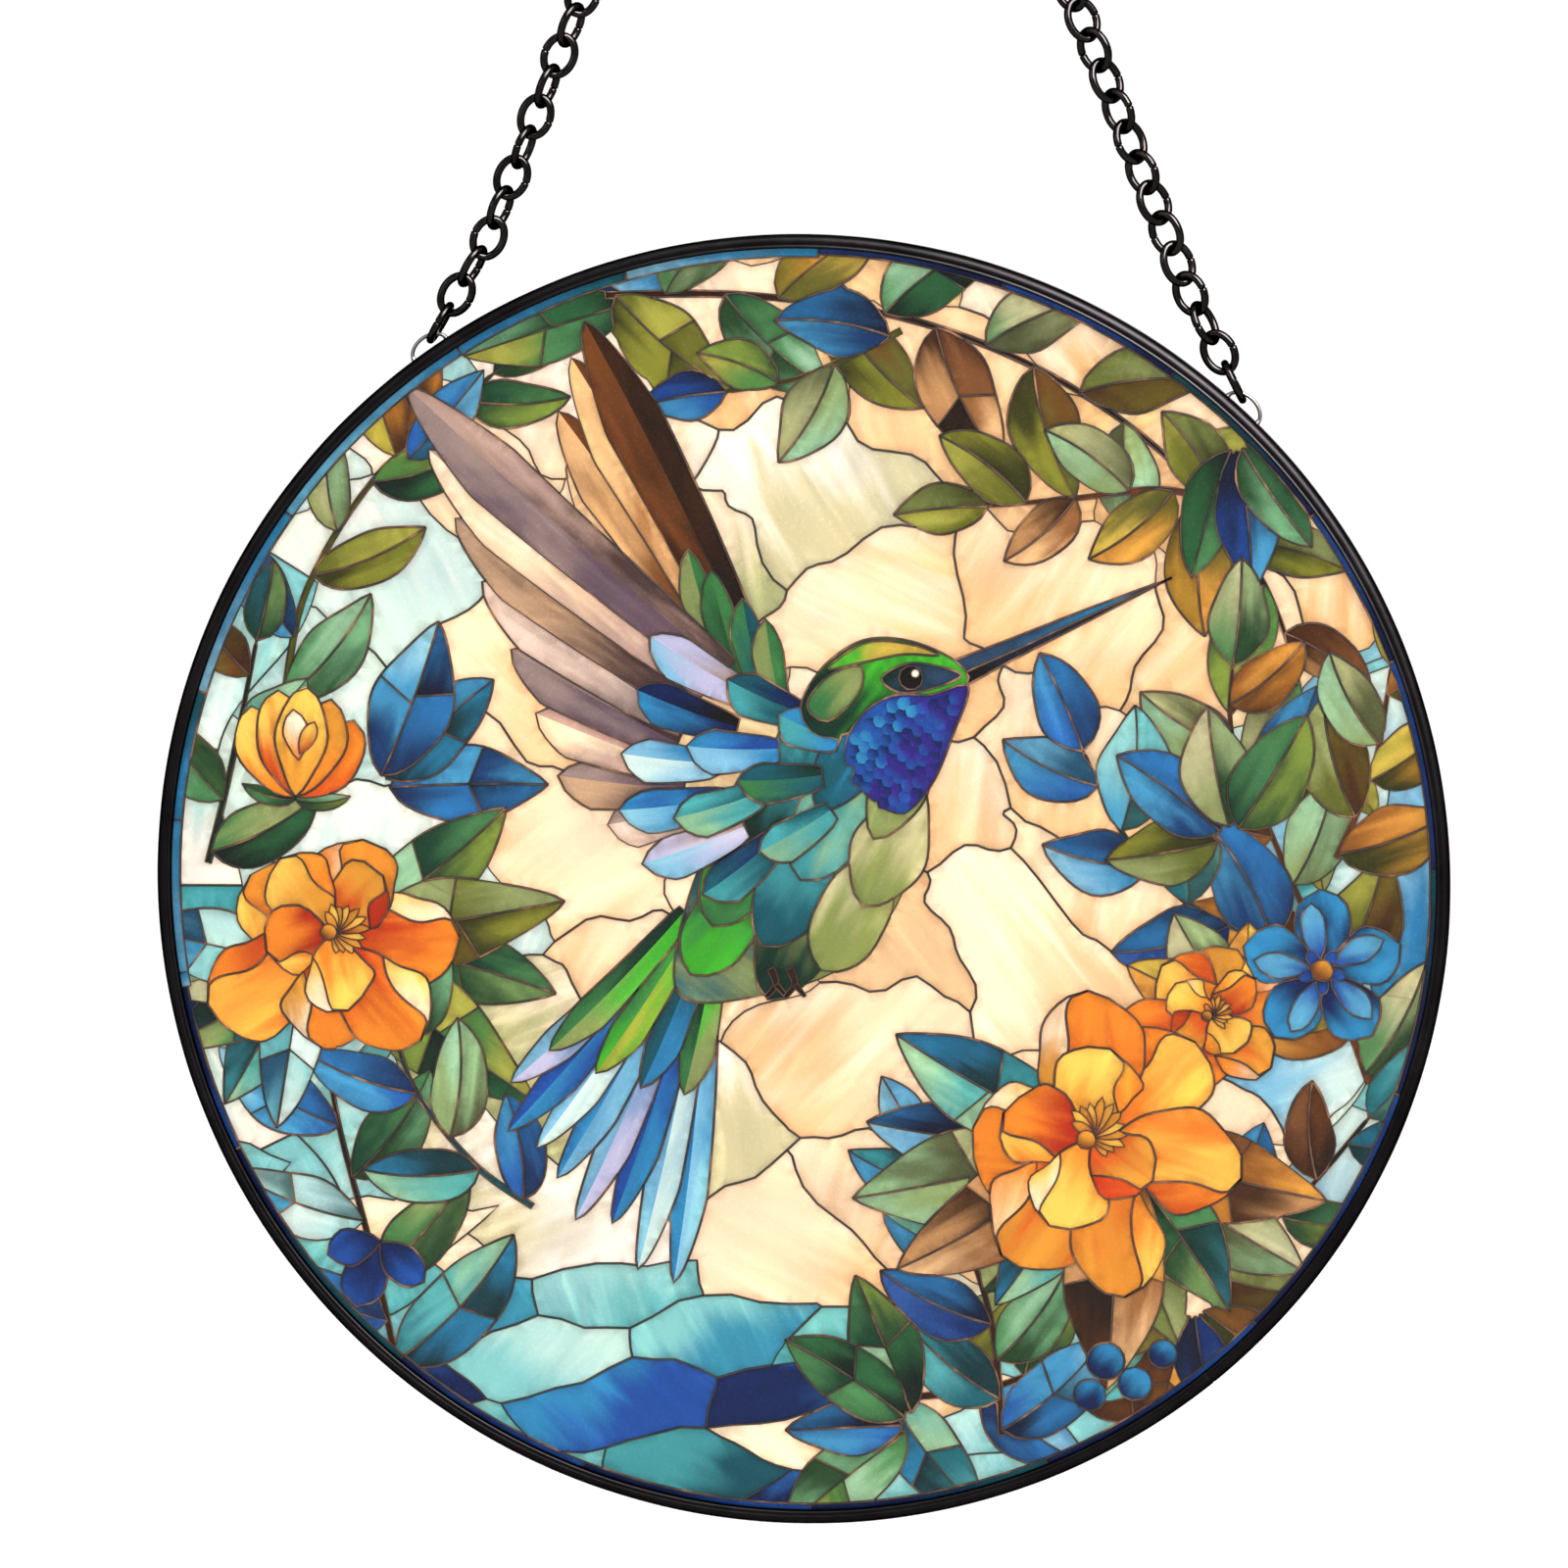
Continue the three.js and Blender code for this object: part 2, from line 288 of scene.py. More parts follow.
LEAF_TONES = {
    "green": [(GREEN, MINT), (DGREEN, GREEN), (GREEN, LOLIVE)],
    "dark": [(DGREEN, GREEN), (DGREEN, DTEAL), (GREEN, MOSS)],
    "olive": [(OLIVE, LOLIVE), (OLIVE, MOSS), (BROWN, OLIVE)],
    "gold": [(OLIVE, GOLD), (BROWN, GOLD), (LOLIVE, YELLOW)],
    "blue": [(NAVY, AZURE), (AZURE, SKY), (ROYAL, AZURE)],
    "teal": [(DTEAL, TEAL), (TEAL, MINT), (DTEAL, AZURE)],
    "aqua": [(TEAL, AQUA), (AQUA, ICE), (AZURE, AQUA)],
    "sage": [(MOSS, SAGE), (GREEN, SAGE), (MOSS, MINT)],
    "royal": [(NAVY, ROYAL), (ROYAL, AZURE), (NAVY, AZURE)],
    "rust": [(BROWN, TAN), (DBROWN, BROWN), (BROWN, GOLD)],
}


def mixc(a, b, t):
    return tuple(a[i] + (b[i] - a[i]) * t for i in range(3))


def hashf(*v):
    s = 0.0
    for i, x in enumerate(v):
        s += x * (12.9898 + 65.233 * i)
    s = math.sin(s) * 43758.5453
    return s - math.floor(s)


def polar(c, r, deg):
    a = math.radians(deg)
    return (c[0] + r * math.cos(a), c[1] + r * math.sin(a))


def piece(points, c0, c1, p0=None, p1=None, streak=None, soft=None):
    """One piece of glass, shaded from c0 at p0 to c1 at p1. No outline runs
    between two pieces of the same soft group."""
    if p0 is None:
        cx = sum(p[0] for p in points) / len(points)
        cy = sum(p[1] for p in points) / len(points)
        p0 = min(points, key=lambda p: p[1] - 0.3 * p[0])
        p1 = (2 * cx - p0[0], 2 * cy - p0[1])
    if streak is None:
        streak = math.degrees(math.atan2(p1[1] - p0[1], p1[0] - p0[0]))
    SHAPES.append((points, c0, c1, p0, p1, streak, soft))


def spline(points, closed=False, step=0.9):
    """Catmull-Rom curve through a few points, sampled about every step."""
    n = len(points)
    out = []
    spans = n if closed else n - 1
    for i in range(spans):
        if closed:
            a, b, c, d = (points[(i + k) % n] for k in (-1, 0, 1, 2))
        else:
            a, b = points[max(i - 1, 0)], points[i]
            c, d = points[i + 1], points[min(i + 2, n - 1)]
        k = max(2, int(math.dist(b, c) / step + 0.5))
        for j in range(k):
            t = j / k
            out.append(tuple(0.5 * (2 * b[m] + (c[m] - a[m]) * t
                                    + (2 * a[m] - 5 * b[m] + 4 * c[m] - d[m]) * t * t
                                    + (3 * b[m] - a[m] - 3 * c[m] + d[m]) * t ** 3)
                             for m in (0, 1)))
    if not closed:
        out.append(tuple(points[-1]))
    return out


def bent_line(base, deg, length, bend, n):
    """n+1 points of a midrib that turns through bend degrees, with headings."""
    out = []
    x, y = base
    for i in range(n + 1):
        h = math.radians(deg + bend * (i / n - 0.5))
        out.append((x, y, h))
        x += math.cos(h) * length / n
        y += math.sin(h) * length / n
    return out


def leaf(base, deg, length, width, tone, bend=20.0, seed=0.0, cuts=None):
    """A pointed leaf: two halves either side of its midrib, cut by veins."""
    n = max(8, int(length / 0.9))
    mid = bent_line(base, deg, length, bend, n)
    cuts = (2 if length > 16.5 else 1) if cuts is None else cuts
    tones = LEAF_TONES[tone]
    lean = 2 if cuts > 1 else 0

    def edge(i, side):
        t = min(max(i / n, 0.0), 1.0)
        w = 0.5 * width * math.sin(math.pi * t ** 0.84) ** 0.80 if 0 < t < 1 else 0.0
        w *= 1.0 + 0.06 * math.sin(9 * t + seed * 7)
        x, y, h = mid[i]
        return (x - math.sin(h) * w * side, y + math.cos(h) * w * side)

    for side in (1, -1):
        marks = [0] + [int(n * (k + 0.15 * (hashf(seed, k, side) - 0.5)) / cuts)
                       for k in range(1, cuts)] + [n]
        for k in range(cuts):
            a, b = marks[k], marks[k + 1]
            ea = a if a == 0 else min(n, a + lean)
            eb = b if b == n else min(n, b + lean)
            pts = [mid[i][:2] for i in range(a, b + 1)]
            pts += [edge(i, side) for i in range(eb, ea - 1, -1)
                    if 0 < i < n or i not in (a, b)]
            c0, c1 = tones[int(hashf(seed, side, k) * 2.999)]
            if side > 0:
                c0, c1 = mixc(c0, c1, 0.22), mixc(c1, PALE, 0.08)
            else:
                c0, c1 = mixc(c0, BLACK, 0.46), mixc(c1, c0, 0.36)
            piece(pts, c0, c1, mid[a][:2], mid[b][:2])


def spray(path, count, length, width, tones, lean=48.0, seed=0.0, tip=True,
          stem=BROWN, taper=0.25, first=0.0):
    """A stem with leaves set alternately on either side of it."""
    line = spline(path, step=1.0)
    ribbon(line, 0.75, stem, mixc(stem, BLACK, 0.3))
    for k in range(count):
        t = first + (1 - first) * (k + 0.4) / count
        i = min(int(t * (len(line) - 2)), len(line) - 2)
        h = math.degrees(math.atan2(line[i + 1][1] - line[i][1],
                                    line[i + 1][0] - line[i][0]))
        side = 1 if k % 2 else -1
        size = (1 - taper * t) * (0.86 + 0.28 * hashf(seed, k))
        leaf(line[i], h + side * lean * (0.85 + 0.3 * hashf(seed, k, 3)),
             length * size, width * size, tones[k % len(tones)],
             bend=-side * 26, seed=seed + k * 1.7)
    if tip:
        h = math.degrees(math.atan2(line[-1][1] - line[-3][1],
                                    line[-1][0] - line[-3][0]))
        leaf(line[-1], h, length * (1 - taper), width * (1 - taper),
             tones[0], bend=10, seed=seed + 9)


def cluster(c, a0, a1, count, length, width, tones, seed=0.0, inner=1.5):
    """Leaves that stand out round one point from angle a0 to a1."""
    order = sorted(range(count), key=lambda k: hashf(seed, k, 4.4))
    for k in order:
        a = a0 + (a1 - a0) * (k + 0.3 * (hashf(k, seed) - 0.5)) / max(1, count - 1)
        s = 0.82 + 0.36 * hashf(seed, k, 2.2)
        leaf(polar(c, inner, a), a, length * s, width * s, tones[k % len(tones)],
             bend=30 * (hashf(k, seed, 6.1) - 0.5), seed=seed + k * 2.3)


def ribbon(line, width, c0, c1, taper=0.5):
    """A narrow strip along a line, a little thinner at its far end."""
    left, right = [], []
    n = len(line)
    for i, p in enumerate(line):
        a = line[max(i - 1, 0)]
        b = line[min(i + 1, n - 1)]
        h = math.atan2(b[1] - a[1], b[0] - a[0])
        w = 0.5 * width * (1 - taper * i / (n - 1))
        left.append((p[0] - math.sin(h) * w, p[1] + math.cos(h) * w))
        right.append((p[0] + math.sin(h) * w, p[1] - math.cos(h) * w))
    piece(left + right[::-1], c0, c1, line[0], line[-1])


def petal(base, deg, length, width, c0, c1, bend=0.0, flame=None, soft=None):
    """A round-ended petal, with an optional narrow flame up its middle."""
    n = max(8, int(length / 0.9))
    mid = bent_line(base, deg, length, bend, n)
    left, right = [], []
    for i in range(1, n):
        t = i / n
        w = 0.5 * width * math.sin(math.pi * t ** 1.25) ** 0.62
        w *= 1 + (0.05 * math.sin(t * 11 + deg) if length > 5 else 0.0)
        x, y, h = mid[i]
        left.append((x - math.sin(h) * w, y + math.cos(h) * w))
        right.append((x + math.sin(h) * w, y - math.cos(h) * w))
    piece([mid[0][:2]] + left + [mid[n][:2]] + right[::-1], c0, c1,
          mid[0][:2], mid[n][:2], soft=soft)
    if flame:
        petal(mid[1][:2], deg - bend * 0.2, length * 0.62, width * 0.36,
              flame[0], flame[1], bend=bend * 0.5)


def disc_piece(c, r, c0, c1):
    k = max(8, int(2 * math.pi * r / 0.8))
    piece([polar(c, r, 360 * i / k) for i in range(k)], c0, c1,
          (c[0] - r * 0.6, c[1] - r * 0.8), (c[0] + r * 0.6, c[1] + r * 0.8))


def broad_petal(base, deg, length, width, c0, c1, fold, seed, bend=0.0):
    """A broad loose petal with an uneven edge and its lip folded on one side."""
    n = max(9, int(length / 0.8))
    mid = bent_line(base, deg, length, bend, n)

    def at(i, off):
        t = i / n
        w = 0.5 * width * math.sin(math.pi * t ** 1.35) ** 0.55
        w *= 1 + 0.10 * math.sin(5.3 * t + seed * 3 + off) \
            + 0.05 * math.sin(14 * t + seed * 7)
        x, y, h = mid[i]
        return (x - math.sin(h) * w * off, y + math.cos(h) * w * off)

    left = [at(i, 1) for i in range(1, n)]
    right = [at(i, -1) for i in range(1, n)]
    end = mid[n][:2]
    piece([mid[0][:2]] + right + [end] + left[::-1], c0, c1, mid[0][:2], end)
    side = 1 if hashf(seed, 8.0) < 0.5 else -1
    i0 = int(n * 0.30)
    lip = [at(i, side) for i in range(i0, n)] + [end]
    inner = [at(i, side * (1.0 - 0.62 * math.sin(math.pi * (i - i0) / (n - i0)) ** 0.8))
             for i in range(n - 1, i0, -1)]
    piece(lip + inner, fold[0], fold[1], lip[0], end)
    return mid


def blossom(c, r, rot, squash=1.0, seed=0.0, deep=0.0):
    """A loose orange blossom: broad outer petals, cupped inner ones, stamens."""
    outer = [(DORANGE, ORANGE, (GOLD, CREAM)), (ORANGE, GOLD, (ORANGE, YELLOW)),
             (RED, ORANGE, (YELLOW, CREAM)), (ORANGE, YELLOW, (DORANGE, ORANGE)),
             (DORANGE, GOLD, (ORANGE, PEACH))]
    for k in range(6):
        a = rot + 60 * k + 26 * (hashf(seed, k) - 0.5)
        s = 0.84 + 0.34 * hashf(seed, k, 2)
        tall = r * s * (1 - (1 - squash) * abs(math.sin(math.radians(a))))
        c0, c1, fold = outer[(k * 2 + int(seed)) % 5]
        c0, c1 = mixc(c0, DORANGE, deep), mixc(c1, ORANGE, deep)
        broad_petal(polar(c, r * 0.05, a), a, tall, r * (0.66 + 0.2 * hashf(k, seed)),
                    c0, c1, fold, seed + k, bend=(hashf(seed, k, 5) - 0.5) * 50)
    inner = [(RED, ORANGE, (ORANGE, YELLOW)), (ORANGE, YELLOW, (YELLOW, CREAM)),
             (DORANGE, GOLD, (RED, DORANGE)), (GOLD, YELLOW, (ORANGE, GOLD))]
    d = polar(c, r * 0.08, rot + 90)
    for k in range(4):
        a = rot + 24 + 84 * k + 22 * (hashf(seed, k, 7) - 0.5)
        s = 0.50 + 0.20 * hashf(seed, k, 9)
        c0, c1, fold = inner[(k + int(seed)) % 4]
        broad_petal(polar(d, r * 0.03, a), a, r * s, r * (0.52 + 0.1 * hashf(k, seed, 4)),
                    c0, c1, fold, seed + 11 + k, bend=(hashf(seed, k, 6) - 0.5) * 60)
    for k in range(12):
        a = rot - 100 + 200 * k / 11
        long = 0.34 - 0.13 * abs(k - 5.5) / 5.5
        petal(polar(d, r * 0.05, a + 180), a, r * (long + 0.05 * hashf(k, seed)), r * 0.075,
              mixc(RED, BROWN, 0.4), GOLD if k % 2 else mixc(GOLD, YELLOW, 0.7),
              bend=(k - 5.5) * 5)
    disc_piece(polar(d, r * 0.04, rot + 180), r * 0.07, BROWN, GOLD)


def bud(c, r, deg, seed=0.0):
    """A half-open bud: a cup of overlapping petals in green sepals."""
    for k, a in enumerate((-62, 62, -26, 26)):
        leaf(polar(c, r * 0.86, deg + 180), deg + a * 1.25, r * 0.95, r * 0.3,
             "green", bend=-a * 0.6, seed=seed + k, cuts=1)
    base = polar(c, r * 0.82, deg + 180)
    tones = [(DORANGE, ORANGE), (ORANGE, YELLOW), (ORANGE, GOLD), (DORANGE, YELLOW),
             (GOLD, YELLOW)]
    for k, a in enumerate((-30, 30, -14, 14, 0)):
        petal(base, deg + a, r * (1.66 + 0.05 * k), r * 0.86, tones[k][0],
              tones[k][1], bend=-a * 1.3)
    petal(polar(c, r * 0.2, deg + 180), deg + 12, r * 0.85, r * 0.42, ORANGE, CREAM)
    petal(polar(c, r * 0.1, deg + 180), deg - 20, r * 0.6, r * 0.26, DORANGE, YELLOW)


def blue_flower(c, r, rot):
    """Five round blue petals, each parted down its middle, round an eye."""
    for k in range(5):
        a = rot + 72 * k
        petal(polar(c, r * 0.1, a), a, r, r * 0.78, NAVY, AZURE, bend=8)
        petal(polar(c, r * 0.14, a + 9), a + 7, r * 0.78, r * 0.34, ROYAL,
              mixc(AZURE, SKY, 0.5), bend=-12)
    for k in range(5):
        a = rot + 36 + 72 * k
        petal(c, a, r * 0.34, r * 0.16, NAVY, ROYAL)
    disc_piece(c, r * 0.15, BROWN, GOLD)


# ---- ground and water: cells round scattered centres, their seams bent -----

def nearer(poly, a, b):
    """The part of a polygon that lies nearer to a than to b."""
    mx, my = (a[0] + b[0]) / 2, (a[1] + b[1]) / 2
    nx, ny = b[0] - a[0], b[1] - a[1]
    out = []
    for p, q in zip(poly, poly[1:] + poly[:1]):
        dp = (p[0] - mx) * nx + (p[1] - my) * ny
        dq = (q[0] - mx) * nx + (q[1] - my) * ny
        if dp <= 0:
            out.append(p)
        if dp * dq < 0:
            t = dp / (dp - dq)
            out.append((p[0] + (q[0] - p[0]) * t, p[1] + (q[1] - p[1]) * t))
    return out


def panes(box, pitch, stretch, turn, jitter, warp, seed, colour, keep=None):
    """Panes over box (x0, y0, x1, y1): cells about pitch wide, drawn out by
    stretch along turn, with seams that wander by up to about warp."""
    ct, st = math.cos(math.radians(turn)), math.sin(math.radians(turn))
    x0, y0, x1, y1 = box
    reach = max(abs(v) for v in box) * 1.5
    seeds = []
    rows = int(reach / (pitch * 0.87)) + 1
    cols = int(reach / (pitch * stretch)) + 1
    for j in range(-rows, rows + 1):
        for i in range(-cols, cols + 1):
            u = (i + 0.5 * (j % 2) + jitter * (hashf(i, j, seed) - 0.5)) * pitch
            v = (j + jitter * (hashf(j, i, seed + 2) - 0.5)) * pitch * 0.87
            seeds.append((u, v))

    def place(p):
        x = p[0] * stretch * ct - p[1] * st
        y = p[0] * stretch * st + p[1] * ct
        return (x + warp * (0.62 * math.sin(y * 0.115 + seed) + 0.38 * math.sin(
                    y * 0.34 + x * 0.10 + seed * 2) + 0.13 * math.sin(y * 0.92 + seed)),
                y + warp * (0.62 * math.sin(x * 0.098 + seed * 3) + 0.38 * math.sin(
                    x * 0.29 - y * 0.12 + seed) + 0.15 * math.sin(x * 0.85 + seed * 5)))

    for a in seeds:
        c = place(a)
        if not (x0 - pitch < c[0] < x1 + pitch and y0 - pitch < c[1] < y1 + pitch):
            continue
        if keep and not keep(*c):
            continue
        r = pitch * 3
        poly = [(a[0] - r, a[1] - r), (a[0] + r, a[1] - r),
                (a[0] + r, a[1] + r), (a[0] - r, a[1] + r)]
        for b in seeds:
            if b is not a and math.dist(a, b) < r * 1.3:
                poly = nearer(poly, a, b)
        pts = []
        for p, q in zip(poly, poly[1:] + poly[:1]):
            k = max(1, int(math.dist(p, q) / 1.1))
            pts += [place((p[0] + (q[0] - p[0]) * i / k, p[1] + (q[1] - p[1]) * i / k))
                    for i in range(k)]
        c0, c1 = colour(c[0], c[1], hashf(c[0], c[1], seed), hashf(c[1], c[0], seed + 5))
        way = 20 + 140 * hashf(c[0], seed)
        q = polar(c, pitch * 0.55, way)
        piece(pts, c0, c1, (2 * c[0] - q[0], 2 * c[1] - q[1]), q, way)


def scales(outline, size, colour, deg, seed=0.0, group="scales"):
    """Small overlapping feathers over an outline, laid from its far end."""
    xs = [p[0] for p in outline]
    ys = [p[1] for p in outline]
    c, s = math.cos(math.radians(deg)), math.sin(math.radians(deg))
    mid = (sum(xs) / len(xs), sum(ys) / len(ys))

    def inside(p):
        hit = False
        for (ax, ay), (bx, by) in zip(outline, outline[1:] + outline[:1]):
            if (ay > p[1]) != (by > p[1]) and \
                    p[0] < (bx - ax) * (p[1] - ay) / (by - ay) + ax:
                hit = not hit
        return hit

    reach = int(40 / size)
    for row in range(reach, -reach, -1):
        for k in range(-reach, reach):
            u = row * size * 0.72
            v = (k + 0.5 * (row % 2)) * size * 0.86
            p = (mid[0] + u * c - v * s, mid[1] + u * s + v * c)
            if not all(inside(polar(p, size * 0.5, deg + turn)) for turn in (0, 100, -100)):
                continue
            c0, c1 = colour(p, hashf(row, k, seed))
            petal(polar(p, size * 0.35, deg + 180), deg, size * 1.15, size * 0.98, c0, c1,
                  soft=group)


def ground_colour(x, y, h, g):
    if math.hypot(x - 14, y - 1) < 20:     # beside the belly
        return (mixc(TAN, PEACH, 0.6), CREAM)
    if x < -44 and y < -16:
        return (AQUA, mixc(AQUA, ICE, 0.7))
    if x < -50 + 6 * g:
        return (mixc(AQUA, ICE, 0.4), ICE) if h < 0.6 else (ICE, mixc(ICE, PALE, 0.6))
    if x > 58 - 4 * g and y < 34:
        return (SKY, ICE) if h < 0.5 else (TEAL, ICE)
    if y > 24 and x < -22:
        return (mixc(SAGE, CREAM, 0.3), PALE) if h < 0.5 else (mixc(PEACH, CREAM, 0.5), PALE)
    if math.hypot(x, y) > 60:
        return (TAN, CREAM) if h < 0.5 else (mixc(TAN, PEACH, 0.4), PEACH)
    if h < 0.15:
        return (mixc(MOSS, SAGE, 0.7), CREAM)
    if h < 0.36:
        return (mixc(SAGE, PEACH, 0.25), PEACH)
    if h < 0.64:
        return (mixc(TAN, PEACH, 0.4), mixc(CREAM, PEACH, 0.35))
    if h < 0.86:
        return (mixc(TAN, PEACH, 0.7), mixc(CREAM, PEACH, 0.25))
    return (mixc(SAGE, CREAM, 0.3), PALE)


def water_colour(x, y, h, g):
    if y < -58 and h < 0.32 or h < 0.08:
        return (NAVY, mixc(ROYAL, AZURE, 0.3)) if g < 0.5 else (ROYAL, AZURE)
    if h < 0.34:
        return (TEAL, mixc(TEAL, AQUA, 0.7))
    if h < 0.56:
        return (mixc(TEAL, AQUA, 0.5), mixc(AQUA, ICE, 0.3))
    if h < 0.74:
        return (AQUA, mixc(AQUA, ICE, 0.6))
    if h < 0.82:
        return (TAN, CREAM)
    if h < 0.92:
        return (DTEAL, TEAL)
    return (mixc(AZURE, TEAL, 0.5), AQUA)


def rim_band(a0, a1, step, depth, tones, seed, wavy=1.0):
    """Pieces that run along the inside of the rim from angle a0 to a1."""
    a = a0
    k = 0
    while a < a1:
        b = min(a + step * (0.7 + 0.6 * hashf(k, seed)), a1)
        m = max(3, int((b - a) * PIC_R * 0.01745 / 1.2))
        outer = [polar((0, 0), PIC_R + 1.2, a + (b - a) * i / m) for i in range(m + 1)]
        inner = [polar((0, 0), PIC_R - depth * (1 - 0.25 * wavy + 0.25 * wavy * math.sin(
            (a + (b - a) * i / m) * 0.21 + seed)), a + (b - a) * i / m)
            for i in range(m, -1, -1)]
        c0, c1 = tones[k % len(tones)]
        piece(outer + inner, c0, c1, outer[0], outer[-1])
        a = b
        k += 1


def feather(base, deg, length, width, c0, c1, bend=0.0, split=None):
    """A long flight feather, with a blunt point and a shaft that parts it."""
    n = max(10, int(length / 1.0))
    mid = bent_line(base, deg, length, bend, n)

    def edge(i, side):
        t = i / n
        w = 0.5 * width * (0.42 + 0.58 * t ** 0.6) * (1 - max(0, t - 0.72) / 0.28) ** 0.62 \
            if t < 1 else 0.0
        if side < 0:
            w *= 0.72
        x, y, h = mid[i]
        return (x - math.sin(h) * w * side, y + math.cos(h) * w * side)

    for side in (1, -1):
        pts = [mid[i][:2] for i in range(n + 1)]
        pts += [edge(i, side) for i in range(n - 1, -1, -1)]
        a, b = (c0, c1) if side > 0 else (split or (mixc(c0, BLACK, 0.3),
                                                    mixc(c1, DBROWN, 0.25)))
        piece(pts, a, b, mid[0][:2], mid[n][:2], soft=(base, deg))


def fan(root, a0, a1, count, reach, width, tones, spread=(0.0, 0.0), bend=0.0):
    """Feathers fanned from a line of roots; reach gives each one's length."""
    for k in range(count):
        t = k / (count - 1)
        b = (root[0] + spread[0] * t, root[1] + spread[1] * t)
        c0, c1, s = tones[k % len(tones)]
        feather(b, a0 + (a1 - a0) * t, reach(t), width, c0, c1, bend=bend, split=s)


def wing(arm, tips, count, width, tones, first=0, bend=0.0):
    """Flight feathers from points along an arm to points along a tip line."""
    a, b = spline(arm, step=0.4), spline(tips, step=0.4)
    for k in range(count):
        t = k / (count - 1)
        p = a[int(round(t * (len(a) - 1)))]
        q = b[int(round(t * (len(b) - 1)))]
        c0, c1, s = tones[(k + first) % len(tones)]
        deg = math.degrees(math.atan2(q[1] - p[1], q[0] - p[0]))
        long = math.dist(p, q)
        feather(p, deg, long, width * (0.8 + 0.4 * min(1, long / 40)), c0, c1,
                bend=bend, split=s)


# ---------------------------------------------------------------------------
# Layout of the picture
# ---------------------------------------------------------------------------
def shore(x):
    return -33.0 - 0.20 * (x + 55) + 1.7 * math.sin(x * 0.13) + 0.8 * math.sin(x * 0.31)


panes((-80, -50, 80, 80), 17.0, 1.6, -20, 0.6, 4.2, 2.4, ground_colour)

# pale sky panes at the left and right edges, and the water at the foot
rim_band(148, 226, 15, 9.0, [(AQUA, ICE), (mixc(AQUA, ICE, 0.4), PALE), (TEAL, AQUA),
                              (ICE, PALE)], 1.0)
rim_band(-34, 22, 13, 9.0, [(SKY, ICE), (AQUA, SKY), (AZURE, SKY)], 2.0)
rim_band(98, 118, 10, 6.0, [(AZURE, SKY), (DTEAL, AZURE)], 3.0)
panes((-80, -80, 80, -30), 7.6, 2.6, 8, 0.8, 1.5, 5.1, water_colour,
      keep=lambda x, y: y < shore(x) - 3.0)

GROUND_COUNT = len(SHAPES)

# ---- leaves and stems round the edge ----------------------------------------
# upper left corner and left bank
spray([(-60, 20), (-57, 34), (-48, 48), (-35, 59)], 7, 17, 7.2,
      ["green", "blue", "olive", "sage", "green", "gold"], seed=4.0, lean=36, stem=OLIVE)
cluster((-46, 48), 40, 112, 2, 15, 6.2, ["blue", "gold"], seed=20)
spray([(-69, 2), (-66, 14), (-63, 28)], 4, 13, 6.6, ["dark", "green", "teal", "olive"],
      seed=3.6, lean=44, stem=DGREEN)
cluster((-49, 11), 4, 74, 3, 17, 8.2, ["royal", "teal", "blue"], seed=21)
cluster((-54, -7), -38, 40, 4, 25, 9.5, ["green", "dark", "olive"], seed=22)
spray([(-47, -58), (-50, -44), (-54, -28), (-56, -14)], 8, 19, 8.2,
      ["teal", "royal", "dark", "aqua", "green", "blue", "aqua"], seed=1.0, stem=DBROWN)
spray([(-31, -38), (-38, -33), (-45, -24), (-48, -14)], 5, 15, 7.2,
      ["royal", "teal", "sage", "royal", "green"], seed=2.0, lean=44, stem=DTEAL)
cluster((-58, -10), 165, 262, 5, 19, 7.8, ["aqua", "sage", "dark", "teal"], seed=23)

# garland over the top and down the right side
cluster((-18, 67.5), 178, 198, 2, 17, 6.6, ["blue", "green"], seed=24)
spray([(-22, 68), (-6, 68), (12, 65.5), (28, 59.5), (42, 50), (52, 38), (57, 26), (59, 13)],
      18, 17.5, 8.6, ["olive", "sage", "green", "gold", "olive", "green", "rust", "sage",
                      "olive"], seed=5.0, lean=42, stem=DBROWN)
spray([(12, 64), (6, 61), (0, 58.5), (-8, 57)], 3, 13.5, 7.4, ["royal", "sage", "green"],
      seed=6.0, lean=30, stem=OLIVE)
spray([(50, 44), (42, 46), (32, 45), (22, 44)], 5, 14.5, 7.8,
      ["olive", "gold", "sage", "rust"], seed=6.6, lean=40, stem=BROWN)
cluster((50, 52), 250, 330, 4, 15, 6.6, ["dark", "royal", "green", "dark"], seed=25)
# right bank
spray([(66, -22), (60, -6), (54, 8), (50, 18), (50, 26)], 9, 16.5, 9.0,
      ["sage", "rust", "olive", "gold", "sage", "rust", "blue"], seed=7.0, lean=48,
      stem=BROWN)
spray([(62, 4), (66, 14), (68, 26)], 5, 15, 8.4, ["gold", "olive", "gold", "sage"],
      seed=8.5, lean=40, stem=BROWN)
spray([(56, -6), (46, -2), (38, 6), (33, 16)], 6, 16.5, 9.6,
      ["blue", "royal", "teal", "blue", "aqua"], seed=8.0, lean=38, stem=DTEAL)
cluster((50, 6), 60, 190, 4, 13.5, 7.6, ["green", "sage", "royal", "olive"], seed=26)
